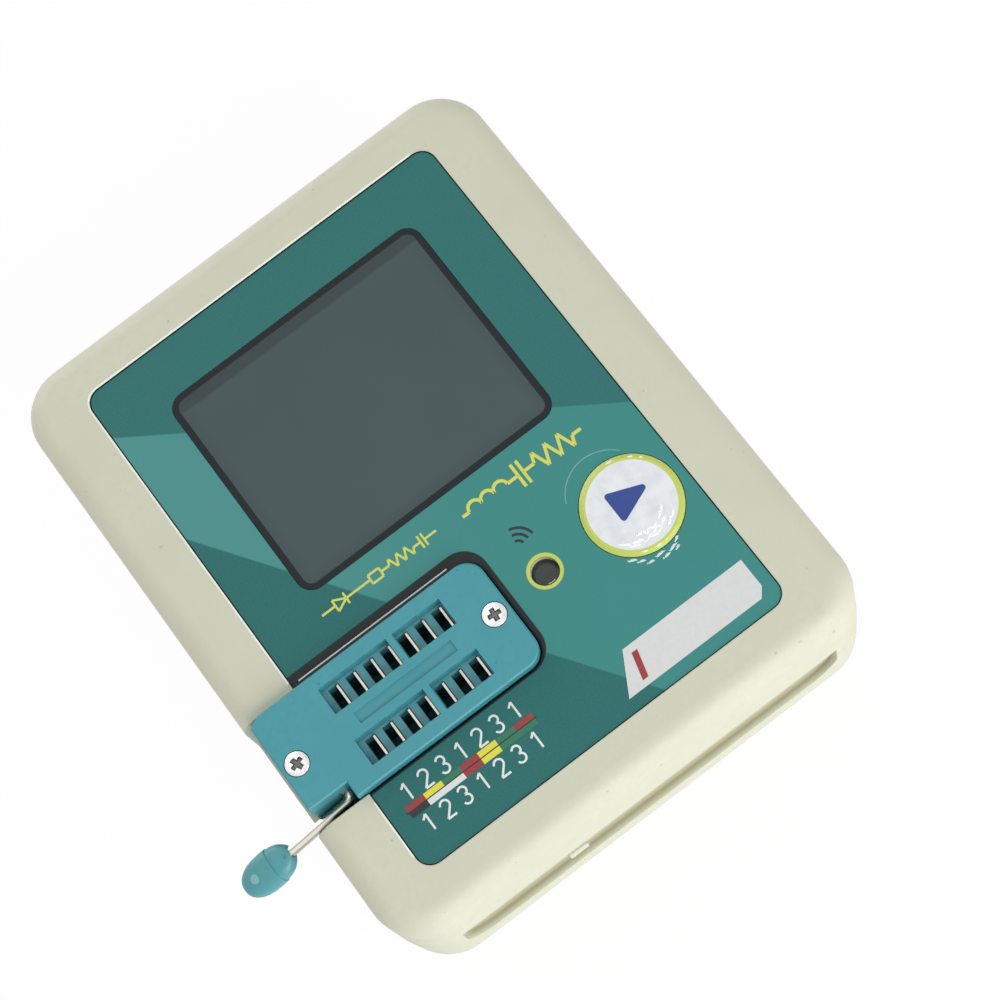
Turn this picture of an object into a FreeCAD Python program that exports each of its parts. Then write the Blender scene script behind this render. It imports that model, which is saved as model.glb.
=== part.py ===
import FreeCAD, Part
import math
import os
import re
import Sketcher
from FreeCAD import Placement, Rotation, Vector

# Hand-held component tester, in millimetres.
# The origin is the middle of the case's underside, +Y runs towards the display and +Z is up.

doc = FreeCAD.newDocument("component_tester")
sheet = doc.addObject("Spreadsheet::Sheet", "Sizes")

SIZES = {
    # Case
    "case_width": 69.3,
    "case_length": 86.4,
    "case_height": 27.0,
    "upper_depth": 14.5,
    "corner_radius": 7.0,
    "edge_radius": 3.0,
    "draft_angle": 1.0,
    "wall": 2.0,
    "top_plate": 2.0,
    "floor_plate": 2.0,
    "lip_wall": 1.0,
    "lip_height": 1.6,
    "lip_gap": 0.1,
    # Long slot in the front wall and the latch tab in it
    "slot_length": 56.0,
    "slot_rise": 3.5,
    "slot_drop": 5.0,
    "slot_depth": 1.0,
    "slot_end_radius": 4.5,
    "latch_x": -10.95,
    "latch_width": 2.7,
    "latch_height": 2.4,
    "latch_gap": 0.15,
    # Printed film in its recess
    "overlay_width": 52.65,
    "overlay_length": 73.16,
    "overlay_thick": 0.35,
    "overlay_radius": 2.0,
    "overlay_gap": 0.15,
    "recess_depth": 0.5,
    # Display
    "window_x": 0.2,
    "window_y": 14.15,
    "window_width": 37.7,
    "window_length": 30.9,
    "window_radius": 2.2,
    "window_gap": 0.05,
    "view_width": 36.0,
    "view_length": 29.2,
    "view_radius": 0.8,
    "panel_width": 46.7,
    "panel_length": 34.7,
    "panel_thick": 1.3,
    "panel_shift": 2.4,
    "panel_gap": 0.1,
    "backlight_thick": 1.2,
    "carrier_margin": 1.2,
    "carrier_wall": 2.2,
    "flex_width": 18.0,
    "flex_thick": 0.2,
    "flex_overhang": 1.0,
    "flex_bend": 0.8,
    "flex_gap": 0.4,
    # Circuit board and its fixing
    "board_depth": 10.7,
    "board_thick": 1.6,
    "board_gap": 1.1,
    "board_radius": 3.0,
    "boss_inset_x": 5.65,
    "boss_inset_y": 5.2,
    "boss_diameter": 5.0,
    "boss_hole_depth": 6.0,
    "board_screw_diameter": 1.8,
    "board_screw_length": 6.5,
    "board_screw_head": 3.8,
    "board_screw_head_height": 1.2,
    "screw_gap": 0.1,
    # Test socket, outline
    "zif_inset": 1.4,
    "zif_y": -17.35,
    "zif_length": 33.2,
    "zif_width": 15.2,
    "zif_base_height": 10.05,
    "zif_cover_thick": 2.0,
    "zif_corner_radius": 2.5,
    "zif_corner_cut": 0.8,
    "zif_edge_bevel": 0.2,
    "zif_gap": 0.2,
    "zif_film_gap": 0.4,
    # Test socket, contact rows
    "contact_pitch": 2.54,
    "contact_count": 7,
    "row_spacing": 7.62,
    "contact_x": -5.38,
    "contact_thick": 0.3,
    "contact_width": 2.8,
    "contact_rise": 10.35,
    "contact_seat": 2.7,
    "contact_gap": 0.1,
    "tail_width": 0.6,
    "tail_length": 1.5,
    "tail_gap": 0.1,
    "cell_window_x": 1.45,
    "cell_window_length": 17.78,
    "cell_window_width": 3.75,
    "bar_x": 2.95,
    "bar_width": 0.9,
    "plaque_length": 14.15,
    "plaque_width": 1.6,
    "plaque_depth": 0.25,
    # Test socket, sliding comb
    "slider_thick": 1.6,
    "slider_width": 12.0,
    "slider_end": 1.0,
    "slider_travel": 0.8,
    "slider_gap": 0.1,
    "slider_side_gap": 0.15,
    "rib_width": 1.0,
    "cell_width": 3.2,
    "fork_width": 1.8,
    "fork_y": -2.9,
    "jaw_thick": 0.9,
    "jaw_depth": 3.05,
    "bridge_thick": 0.65,
    # Test socket, screws
    "zif_screw_x": 14.5,
    "zif_screw_diameter": 1.6,
    "zif_screw_length": 7.0,
    "zif_screw_head": 3.0,
    "zif_screw_head_height": 0.85,
    "zif_screw_sink": 0.8,
    # Lever
    "pivot_x": -11.95,
    "pivot_height": 7.5,
    "rod_diameter": 1.4,
    "rod_gap": 0.05,
    "rod_bend": 0.83,
    "arm_y": -6.25,
    "arm_slope": 16.5,
    "arm_swing": 106.5,
    "axle_end": 0.4,
    "cam_radius": 1.2,
    "cam_width": 2.0,
    "cam_gap": 0.08,
    "notch_x": -11.05,
    "notch_y": -5.42,
    "notch_floor": 4.9,
    "bearing_end": 0.5,
    "arm_length": 11.0,
    "knob_neck": 2.5,
    "knob_body": 5.3,
    "knob_width": 4.7,
    "knob_thick": 3.3,
    "knob_round": 1.4,
    "knob_step": 0.1,
    "knob_mouth": 1.9,
    "knob_mouth_radius": 0.8,
    "knob_shoulder": 1.0,
    "knob_shoulder_width": 3.6,
    "knob_shoulder_thick": 2.6,
    "knob_shoulder_radius": 1.15,
    "knob_grip": 3.4,
    "knob_gap": 0.02,
    "lever_slot_depth": 6.2,
    "socket_slot_depth": 11.1,
    # Press area and its switch
    "button_x": 18.72,
    "button_y": -16.43,
    "button_diameter": 12.7,
    "button_gap": 0.1,
    "button_thick": 0.45,
    "button_dome": 0.25,
    "button_well": 0.35,
    "button_travel": 0.3,
    "switch_side": 6.0,
    "switch_height": 3.5,
    "switch_leg": 0.7,
    "switch_leg_reach": 0.7,
    "switch_leg_thick": 0.35,
    "switch_leg_spacing": 4.0,
    "stem_diameter": 3.5,
    "stem_gap": 0.08,
    "stem_seat": 1.2,
    "stem_room": 0.3,
    # Infrared receiver
    "ir_x": 5.75,
    "ir_y": -16.46,
    "ir_hole": 3.6,
    "ir_width": 5.8,
    "ir_length": 7.0,
    "ir_height": 3.4,
    "ir_lens": 1.6,
    "ir_lens_rise": 1.8,
    "ir_lens_bevel": 0.7,
    # Charging inlet and lamp
    "usb_x": 0.0,
    "usb_width": 7.5,
    "usb_height": 2.6,
    "usb_length": 5.6,
    "usb_inset": 1.2,
    "usb_skin": 0.3,
    "usb_corner": 0.85,
    "usb_mouth_corner": 1.3,
    "usb_tongue_width": 3.7,
    "usb_tongue_thick": 0.5,
    "usb_tongue_inset": 0.9,
    "usb_gap": 0.4,
    "led_x": 8.0,
    "led_diameter": 1.8,
    "led_length": 3.2,
    "led_base": 2.2,
    "led_gap": 0.15,
    # Battery
    "cell_x": 6.0,
    "cell_y": 8.0,
    "cell_length": 34.0,
    "cell_breadth": 28.0,
    "cell_thick": 6.0,
    "cell_round": 1.5,
    "cell_bevel": 0.8,
    "cell_gap": 0.4,
    "tape_thick": 0.6,
    "tape_margin": 3.0,
    "cell_rib": 1.2,
    "cell_rib_height": 3.0,
    "lead_diameter": 1.2,
    "lead_spacing": 2.0,
    "lead_run": 5.4,
    "lead_bend": 1.6,
    "plug_length": 6.0,
    "plug_width": 5.0,
    "plug_height": 4.5,
    # Chips under the board
    "mcu_side": 7.0,
    "mcu_height": 1.0,
    "mcu_bevel": 0.25,
    "mcu_x": 10.0,
    "mcu_y": -22.0,
    "crystal_x": 20.0,
    "crystal_y": -22.0,
    "crystal_length": 5.0,
    "crystal_width": 3.2,
    "crystal_height": 1.1,
    "chip_length": 5.0,
    "chip_width": 4.0,
    "chip_height": 1.5,
    "chip_x": 20.0,
    "chip_inset": 8.1,
    "chip_step": 9.0,
}

for row, (alias, size) in enumerate(SIZES.items(), start=1):
    sheet.set(f"A{row}", alias)
    sheet.set(f"B{row}", str(size))
    sheet.setAlias(f"B{row}", alias)
doc.recompute()

# Heights and places that several pieces share, as formulas of the sizes above
PARTING = "(case_height - upper_depth)"
RECESS_FLOOR = "(case_height - recess_depth)"
BOARD_TOP = "(case_height - board_depth)"
BOARD_UNDER = "(case_height - board_depth - board_thick)"
BOSS_X = "(case_width / 2 - wall - boss_inset_x)"
BOSS_Y = "(case_length / 2 - wall - boss_inset_y)"
ZIF_X = "(zif_length / 2 + zif_inset - case_width / 2)"
BUTTON_UNDER = "(case_height - recess_depth + overlay_thick - button_thick)"
PANEL_TOP = "(case_height - top_plate - panel_gap)"
CARRIER_TOP = "(case_height - top_plate - panel_gap - panel_thick - backlight_thick)"
SLIDER_FLOOR = "(zif_base_height - 2 * slider_gap - slider_thick)"
CAM_THROW = "(slider_travel / 2 / sin(arm_swing / 2))"
CAM_REST_X = "(pivot_x - slider_travel / 2)"
FORK_INNER = "(cam_radius + cam_gap)"
LAST_CONTACT = "(contact_x + (contact_count - 1) * contact_pitch)"
SLIDER_LEFT = "(contact_x - contact_pitch + contact_thick / 2 + contact_gap - slider_end)"
SLIDER_RIGHT = f"({LAST_CONTACT} + contact_thick / 2 + contact_gap + rib_width)"
CELL_BOTTOM = "(floor_plate + tape_thick)"


def bound(text):
    """The same formula with every size named as a cell of the sheet."""
    return re.sub(r"[a-z_]+[a-z]", lambda word: f"Sizes.{word[0]}" if word[0] in SIZES else word[0], text)


def number(text):
    """The present value of a formula."""
    return float(sheet.evalExpression(bound(str(text))))


def new_body(label, x="0", y="0", z="0"):
    """An empty body whose place is bound to the sheet."""
    body = doc.addObject("PartDesign::Body", label)
    body.Label = label
    for axis, text in zip("xyz", (x, y, z)):
        body.setExpression(f"Placement.Base.{axis}", bound(text))
    return body


def new_sketch(body, name, lift="0", role="XY_Plane"):
    """A sketch on one of the body's own origin planes, lifted along that plane's normal."""
    sketch = body.newObject("Sketcher::SketchObject", name)
    plane = next(item for item in body.Origin.OriginFeatures if item.Role == role)
    sketch.AttachmentSupport = (plane, [""])
    sketch.MapMode = "FlatFace"
    sketch.setExpression("AttachmentOffset.Base.z", bound(lift))
    return sketch


def dimension(sketch, kind, where, text):
    """A dimension bound to the sheet."""
    index = sketch.addConstraint(Sketcher.Constraint(kind, *where, number(text)))
    sketch.setExpression(f"Constraints[{index}]", bound(text))


def pin_point(sketch, element, end, x, y):
    """Fix one end of an element at a bound place."""
    dimension(sketch, "DistanceX", (-1, 1, element, end), x)
    dimension(sketch, "DistanceY", (-1, 1, element, end), y)


def polygon(sketch, points):
    """A closed outline of straight lines through bound points."""
    spots = [Vector(number(x), number(y), 0) for x, y in points]
    first = sketch.GeometryCount
    count = len(points)
    for i in range(count):
        sketch.addGeometry(Part.LineSegment(spots[i], spots[(i + 1) % count]))
    for i in range(count):
        sketch.addConstraint(Sketcher.Constraint("Coincident", first + i, 2, first + (i + 1) % count, 1))
    for i, (x, y) in enumerate(points):
        pin_point(sketch, first + i, 1, x, y)


def rectangle(sketch, x, y, width, length):
    """A square-cornered rectangle about a bound centre."""
    left, right = f"({x}) - ({width}) / 2", f"({x}) + ({width}) / 2"
    low, high = f"({y}) - ({length}) / 2", f"({y}) + ({length}) / 2"
    polygon(sketch, [(left, low), (right, low), (right, high), (left, high)])


def rounded_rectangle(sketch, x, y, width, length, radius):
    """A rectangle about a bound centre, with bound corner arcs."""
    left, right = f"({x}) - ({width}) / 2", f"({x}) + ({width}) / 2"
    low, high = f"({y}) - ({length}) / 2", f"({y}) + ({length}) / 2"
    x0, x1, y0, y1, r = (number(text) for text in (left, right, low, high, radius))
    line_ends = [
        ((x0 + r, y0), (x1 - r, y0)),
        ((x1, y0 + r), (x1, y1 - r)),
        ((x1 - r, y1), (x0 + r, y1)),
        ((x0, y1 - r), (x0, y0 + r)),
    ]
    arc_centres = [(x1 - r, y0 + r), (x1 - r, y1 - r), (x0 + r, y1 - r), (x0 + r, y0 + r)]
    first = sketch.GeometryCount
    for i, (start, end) in enumerate(line_ends):
        sketch.addGeometry(Part.LineSegment(Vector(*start, 0), Vector(*end, 0)))
        corner = Part.Circle(Vector(*arc_centres[i], 0), Vector(0, 0, 1), r)
        turn = (i - 1) * math.pi / 2
        sketch.addGeometry(Part.ArcOfCircle(corner, turn, turn + math.pi / 2))
    for i in range(8):
        sketch.addConstraint(Sketcher.Constraint("Tangent", first + i, 2, first + (i + 1) % 8, 1))
    for i, kind in enumerate(("Horizontal", "Vertical", "Horizontal", "Vertical")):
        sketch.addConstraint(Sketcher.Constraint(kind, first + 2 * i))
    for i in (3, 5, 7):
        sketch.addConstraint(Sketcher.Constraint("Equal", first + 1, first + i))
    dimension(sketch, "Radius", (first + 1,), radius)
    dimension(sketch, "DistanceX", (-1, 1, first + 6, 1), left)
    dimension(sketch, "DistanceX", (-1, 1, first + 2, 1), right)
    dimension(sketch, "DistanceY", (-1, 1, first, 1), low)
    dimension(sketch, "DistanceY", (-1, 1, first + 4, 1), high)


def circle(sketch, x, y, diameter):
    """A circle at a bound place."""
    shape = Part.Circle(Vector(number(x), number(y), 0), Vector(0, 0, 1), number(diameter) / 2)
    index = sketch.addGeometry(shape)
    pin_point(sketch, index, 3, x, y)
    dimension(sketch, "Diameter", (index,), diameter)


def extrude(kind, sketch, length, reverse=False, taper=None):
    """A Pad or Pocket of a sketch, with a bound length."""
    body = sketch.getParentGeoFeatureGroup()
    before = body.Shape.Volume if not body.Shape.isNull() else 0.0
    feature = body.newObject(f"PartDesign::{kind}", f"{sketch.Name}_{kind.lower()}")
    feature.Profile = sketch
    feature.setExpression("Length", bound(length))
    feature.Reversed = reverse
    if taper:
        feature.setExpression("TaperAngle", bound(taper))
    sketch.Visibility = False
    doc.recompute()
    gained = body.Shape.Volume - before
    if gained * (1 if kind == "Pad" else -1) <= 0:
        raise RuntimeError(f"{feature.Name} changes nothing")
    return feature


def edges_where(feature, test):
    """Names of the edges whose bounding box passes a test."""
    return [f"Edge{i}" for i, edge in enumerate(feature.Shape.Edges, start=1) if test(edge.BoundBox)]


def soften(kind, feature, size, test):
    """A Fillet or Chamfer on the edges that pass a test."""
    body = feature.getParentGeoFeatureGroup()
    names = edges_where(feature, test)
    softened = body.newObject(f"PartDesign::{kind}", f"{feature.Name}_{kind.lower()}")
    softened.Base = (feature, names)
    softened.setExpression("Radius" if kind == "Fillet" else "Size", bound(size))
    doc.recompute()
    return softened


def level(height):
    """A test for edges that lie flat at a height of the body."""
    z = number(height)
    return lambda box: abs(box.ZMin - z) < 1e-4 and abs(box.ZMax - z) < 1e-4


def upright(*corners):
    """A test for vertical edges that stand at the given places."""
    places = [(number(x), number(y)) for x, y in corners]

    def stands(box):
        flat = box.XLength < 1e-4 and box.YLength < 1e-4 and box.ZLength > 1e-4
        return flat and any(math.hypot(box.XMin - x, box.YMin - y) < 1e-3 for x, y in places)

    return stands


def solid_group(label, shapes):
    """One sub-part made of several separate solids."""
    group = doc.addObject("Part::Feature", label)
    group.Label = label
    group.Shape = Part.makeCompound(shapes)
    group.Placement = Placement()
    return group


def cylinder(name, diameter, height, z="0"):
    """A bound cylinder on the Z axis."""
    item = doc.addObject("Part::Cylinder", name)
    item.setExpression("Radius", bound(f"({diameter}) / 2"))
    item.setExpression("Height", bound(height))
    item.setExpression("Placement.Base.z", bound(z))
    return item


def block(label, x, y, z, length, width, height):
    """A bound box, centred on x and y and standing on z."""
    item = doc.addObject("Part::Box", label)
    item.Label = label
    for name, text in (("Length", length), ("Width", width), ("Height", height)):
        item.setExpression(name, bound(text))
    item.setExpression("Placement.Base.x", bound(f"({x}) - ({length}) / 2"))
    item.setExpression("Placement.Base.y", bound(f"({y}) - ({width}) / 2"))
    item.setExpression("Placement.Base.z", bound(z))
    return item


def case_outline(sketch, inset):
    """The case's outline at the parting line, drawn in by an inset."""
    width, length = f"case_width - 2 * ({inset})", f"case_length - 2 * ({inset})"
    rounded_rectangle(sketch, "0", "0", width, length, f"corner_radius - ({inset})")


def front_slot(body, low, high, round_low):
    """Cut this shell's share of the long slot in the front wall."""
    sketch = new_sketch(body, f"{body.Name}_slot", "case_length / 2 - slot_depth", "XZ_Plane")
    rectangle(sketch, "0", f"(({low}) + ({high})) / 2", "slot_length", f"({high}) - ({low})")
    slot = extrude("Pocket", sketch, "3 * slot_depth", reverse=True)
    if round_low:
        ends = [number("-slot_length / 2"), number("slot_length / 2")]
        floor = number(low)

        def low_end(box):
            across = box.XLength < 1e-4 and box.ZLength < 1e-4
            at_end = any(abs(box.XMin - x) < 1e-3 for x in ends)
            return across and at_end and abs(box.ZMin - floor) < 1e-3

        soften("Fillet", slot, "slot_end_radius", low_end)


def make_upper_shell():
    """Upper half of the case: drafted wall, rounded rim, film recess, openings and board bosses."""
    body = new_body("upper_shell")
    outline = new_sketch(body, "upper_outline", PARTING)
    case_outline(outline, "0")
    wall = extrude("Pad", outline, "upper_depth", taper="-draft_angle")
    soften("Fillet", wall, "edge_radius", level("case_height"))
    hollow = new_sketch(body, "upper_hollow", PARTING)
    case_outline(hollow, "wall")
    extrude("Pocket", hollow, "upper_depth - top_plate", reverse=True)
    rim = new_sketch(body, "upper_rim", PARTING)
    case_outline(rim, "lip_wall")
    extrude("Pocket", rim, "lip_height", reverse=True)
    front_slot(body, f"{PARTING} - slot_depth", f"{PARTING} + slot_rise", False)

    recess = new_sketch(body, "film_recess", "case_height")
    size = ("overlay_width + 2 * overlay_gap", "overlay_length + 2 * overlay_gap")
    rounded_rectangle(recess, "0", "0", *size, "overlay_radius + overlay_gap")
    extrude("Pocket", recess, "recess_depth")
    view = new_sketch(body, "view_opening", "case_height")
    rounded_rectangle(view, "window_x", "window_y", "view_width", "view_length", "view_radius")
    extrude("Pocket", view, "2 * top_plate")
    press = new_sketch(body, "press_opening", "case_height")
    circle(press, "button_x", "button_y", "button_diameter + 2 * button_well")
    circle(press, "ir_x", "ir_y", "ir_hole")
    extrude("Pocket", press, "2 * top_plate")

    # The socket's opening runs out through the left wall, and is shallower where only the lever passes
    low = "zif_y - zif_width / 2 - zif_gap"
    high = "zif_y + zif_width / 2 + zif_gap"
    right = f"{ZIF_X} + zif_length / 2 + zif_gap"
    split = "zif_y + notch_y - zif_gap"
    left = "-case_width"
    deep = new_sketch(body, "socket_opening", "case_height")
    polygon(deep, [(left, split), (right, split), (right, high), (left, high)])
    extrude("Pocket", deep, "socket_slot_depth")
    shallow = new_sketch(body, "lever_opening", "case_height")
    polygon(shallow, [(left, low), (right, low), (right, split), (left, split)])
    opening = extrude("Pocket", shallow, "lever_slot_depth")
    soften("Fillet", opening, "zif_corner_radius + zif_gap", upright((right, low), (right, high)))

    bosses = new_sketch(body, "bosses", BOARD_TOP)
    pilots = new_sketch(body, "boss_holes", BOARD_TOP)
    for side in ("-", ""):
        for end in ("-", ""):
            circle(bosses, side + BOSS_X, end + BOSS_Y, "boss_diameter")
            circle(pilots, side + BOSS_X, end + BOSS_Y, "board_screw_diameter + 2 * screw_gap")
    extrude("Pad", bosses, "board_depth - top_plate / 2")
    extrude("Pocket", pilots, "boss_hole_depth", reverse=True)

    rear = new_sketch(body, "rear_openings", "2 * wall - case_length / 2", "XZ_Plane")
    middle = f"{BOARD_TOP} + usb_height / 2"
    size = ("usb_width + 2 * usb_gap", "usb_height + 2 * usb_gap")
    rounded_rectangle(rear, "usb_x", middle, *size, "usb_mouth_corner")
    circle(rear, "led_x", f"{BOARD_TOP} + led_base / 2", "led_diameter + 2 * led_gap")
    extrude("Pocket", rear, "3 * wall")
    return body


def make_lower_shell():
    """Lower half of the case: drafted tub, tongue round the rim, ribs round the battery and the latch tab."""
    body = new_body("lower_shell")
    outline = new_sketch(body, "lower_outline", PARTING)
    case_outline(outline, "0")
    tub = extrude("Pad", outline, PARTING, reverse=True, taper="-draft_angle")
    soften("Fillet", tub, "edge_radius", level("0"))
    hollow = new_sketch(body, "lower_hollow", PARTING)
    case_outline(hollow, "wall")
    extrude("Pocket", hollow, f"{PARTING} - floor_plate")
    front_slot(body, f"{PARTING} - slot_drop", f"{PARTING} + slot_depth", True)
    tongue = new_sketch(body, "tongue", PARTING)
    case_outline(tongue, "lip_wall + lip_gap")
    case_outline(tongue, "wall")
    extrude("Pad", tongue, "lip_height - lip_gap")

    ribs = new_sketch(body, "cell_ribs", "floor_plate")
    for reach in ("cell_gap", "cell_gap + cell_rib"):
        rectangle(ribs, "cell_x", "cell_y", f"cell_length + 2 * ({reach})", f"cell_breadth + 2 * ({reach})")
    extrude("Pad", ribs, "cell_rib_height")
    gate = new_sketch(body, "lead_gate", "floor_plate")
    gate_x = "cell_x - cell_length / 2 - cell_gap - cell_rib / 2"
    rectangle(gate, gate_x, "cell_y", "2 * cell_rib", "2 * lead_spacing + lead_diameter")
    extrude("Pocket", gate, "cell_rib_height", reverse=True)

    latch = new_sketch(body, "latch", f"{PARTING} - latch_height / 2")
    inner = "lip_wall + lip_gap - case_length / 2"
    outer = "latch_gap - case_length / 2"
    left, right = "latch_x - latch_width / 2", "latch_x + latch_width / 2"
    polygon(latch, [(left, outer), (right, outer), (right, inner), (left, inner)])
    extrude("Pad", latch, "latch_height")
    return body


def make_overlay():
    """Printed film, cut out for the display window, the socket, the press area and the receiver."""
    body = new_body("front_overlay", z=RECESS_FLOOR)
    sheet_outline = new_sketch(body, "film_outline")
    rounded_rectangle(sheet_outline, "0", "0", "overlay_width", "overlay_length", "overlay_radius")
    extrude("Pad", sheet_outline, "overlay_thick")
    round_cuts = new_sketch(body, "film_cuts", "overlay_thick")
    size = ("window_width + 2 * window_gap", "window_length + 2 * window_gap")
    rounded_rectangle(round_cuts, "window_x", "window_y", *size, "window_radius + window_gap")
    circle(round_cuts, "button_x", "button_y", "button_diameter + 2 * button_gap")
    circle(round_cuts, "ir_x", "ir_y", "ir_hole")
    extrude("Pocket", round_cuts, "2 * overlay_thick")
    socket_cut = new_sketch(body, "film_socket_cut", "overlay_thick")
    low = "zif_y - zif_width / 2 - zif_film_gap"
    high = "zif_y + zif_width / 2 + zif_film_gap"
    right = f"{ZIF_X} + zif_length / 2 + zif_film_gap"
    left = "-overlay_width"
    polygon(socket_cut, [(left, low), (right, low), (right, high), (left, high)])
    cut = extrude("Pocket", socket_cut, "2 * overlay_thick")
    soften("Fillet", cut, "zif_corner_radius + zif_film_gap", upright((right, low), (right, high)))
    return body


def make_display():
    """Window, glass, light frame, carrier and ribbon of the display."""
    window = new_body("display_window", "window_x", "window_y", RECESS_FLOOR)
    outline = new_sketch(window, "window_outline")
    rounded_rectangle(outline, "0", "0", "window_width", "window_length", "window_radius")
    extrude("Pad", outline, "overlay_thick")

    panel_x = "(window_x + panel_shift)"
    glass = f"{PANEL_TOP} - panel_thick"
    panel = block("lcd_panel", panel_x, "window_y", glass, "panel_width", "panel_length", "panel_thick")
    size = ("panel_width", "panel_length", "backlight_thick")
    backlight = block("lcd_backlight", panel_x, "window_y", CARRIER_TOP, *size)

    carrier = new_body("lcd_carrier", panel_x, "window_y", BOARD_TOP)
    frame = new_sketch(carrier, "carrier_frame")
    for inset in ("carrier_margin", "carrier_margin + carrier_wall"):
        rectangle(frame, "0", "0", f"panel_width - 2 * ({inset})", f"panel_length - 2 * ({inset})")
    extrude("Pad", frame, f"{CARRIER_TOP} - {BOARD_TOP}")
    return [window, panel, backlight, carrier, make_flex(panel_x)]


def make_flex(panel_x):
    """Ribbon that leaves the light frame's side, bends down and lies on the board."""
    thick, bend = number("flex_thick"), number("flex_bend")
    edge = number(f"{panel_x} + panel_width / 2")
    top = number(f"{CARRIER_TOP} + backlight_thick / 2")
    foot = number(BOARD_TOP) + thick / 2
    turn = edge + number("flex_overhang") + bend
    foot_end = edge - number("carrier_margin - flex_gap")
    path = Part.Wire([
        Part.LineSegment(Vector(edge, 0, top), Vector(turn - bend, 0, top)).toShape(),
        Part.Arc(
            Vector(turn - bend, 0, top),
            Vector(turn - bend + bend * math.sin(math.pi / 4), 0, top - bend + bend * math.cos(math.pi / 4)),
            Vector(turn, 0, top - bend),
        ).toShape(),
        Part.LineSegment(Vector(turn, 0, top - bend), Vector(turn, 0, foot + bend)).toShape(),
        Part.Arc(
            Vector(turn, 0, foot + bend),
            Vector(turn - bend + bend * math.sin(math.pi / 4), 0, foot + bend - bend * math.cos(math.pi / 4)),
            Vector(turn - bend, 0, foot),
        ).toShape(),
        Part.LineSegment(Vector(turn - bend, 0, foot), Vector(foot_end, 0, foot)).toShape(),
    ])
    width = number("flex_width")
    start = number("window_y") - width / 2
    section = Part.makePolygon([
        Vector(edge, 0, top - thick / 2),
        Vector(edge, width, top - thick / 2),
        Vector(edge, width, top + thick / 2),
        Vector(edge, 0, top + thick / 2),
        Vector(edge, 0, top - thick / 2),
    ])
    flex = doc.addObject("Part::Feature", "lcd_flex")
    flex.Label = "lcd_flex"
    flex.Shape = path.makePipeShell([section], True, False)
    flex.Placement = Placement(Vector(0, start, 0), Rotation())
    return flex


def make_board():
    """Circuit board with screw holes and the socket's pin holes, and its screws."""
    body = new_body("main_board", z=BOARD_UNDER)
    outline = new_sketch(body, "board_outline")
    width = "case_width - 2 * wall - 2 * board_gap"
    length = "case_length - 2 * wall - 2 * board_gap"
    rounded_rectangle(outline, "0", "0", width, length, "board_radius")
    extrude("Pad", outline, "board_thick")
    holes = new_sketch(body, "board_holes", "board_thick")
    for side in ("-", ""):
        for end in ("-", ""):
            circle(holes, side + BOSS_X, end + BOSS_Y, "board_screw_diameter + 2 * screw_gap")
    extrude("Pocket", holes, "2 * board_thick")
    pins = new_sketch(body, "pin_holes", "board_thick")
    for side in ("-", "+"):
        for i in range(int(number("contact_count"))):
            x = f"{ZIF_X} + contact_x + {i} * contact_pitch"
            size = ("contact_thick + 2 * tail_gap", "tail_width + 2 * tail_gap")
            rectangle(pins, x, f"zif_y {side} row_spacing / 2", *size)
    extrude("Pocket", pins, "2 * board_thick")

    shank = cylinder("board_shank", "board_screw_diameter", "board_screw_length")
    head = cylinder("board_head", "board_screw_head", "board_screw_head_height", "-board_screw_head_height")
    form = doc.addObject("Part::Fuse", "board_screw_form")
    form.Base, form.Tool = shank, head
    doc.recompute()
    x, y, z = number(BOSS_X), number(BOSS_Y), number(BOARD_UNDER)
    places = [Vector(a * x, b * y, z) for a in (-1, 1) for b in (-1, 1)]
    screws = solid_group("board_screws", [form.Shape.translated(place) for place in places])
    return [body, screws]


def socket_body(label):
    """A body in the socket's own frame: centred on its outline and standing on the board."""
    return new_body(label, ZIF_X, "zif_y", BOARD_TOP)


def socket_outline(body, name, lift, thick):
    """The socket's outline: rounded at the right, cut at the upper left and notched for the lever."""
    sketch = new_sketch(body, name, lift)
    right, high, cut = "zif_length / 2", "zif_width / 2", "zif_corner_cut"
    polygon(sketch, [
        (f"-{right} + {cut}", f"-{high}"),
        (right, f"-{high}"),
        (right, high),
        (f"-{right} + 2 * {cut}", high),
        (f"-{right}", f"{high} - {cut}"),
        (f"-{right}", f"-{high} + {cut}"),
    ])
    pad = extrude("Pad", sketch, thick)
    return soften("Fillet", pad, "zif_corner_radius", upright((right, f"-{high}"), (right, high)))


def cut_lever_notch(body, lift, depth):
    """Take away the lower left corner, where the lever's arm swings."""
    notch = new_sketch(body, f"{body.Name}_notch", lift)
    left, low = "-zif_length", "-zif_width"
    slant = "-zif_length / 2 + zif_corner_cut"
    edge = "notch_y + zif_corner_cut"
    outline = [(left, low), ("notch_x", low), ("notch_x", "notch_y"), (slant, "notch_y"), (left, edge)]
    if body.Name != "zif_cover":
        outline[3:] = [(left, "notch_y")]
    polygon(notch, outline)
    return extrude("Pocket", notch, depth)


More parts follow.
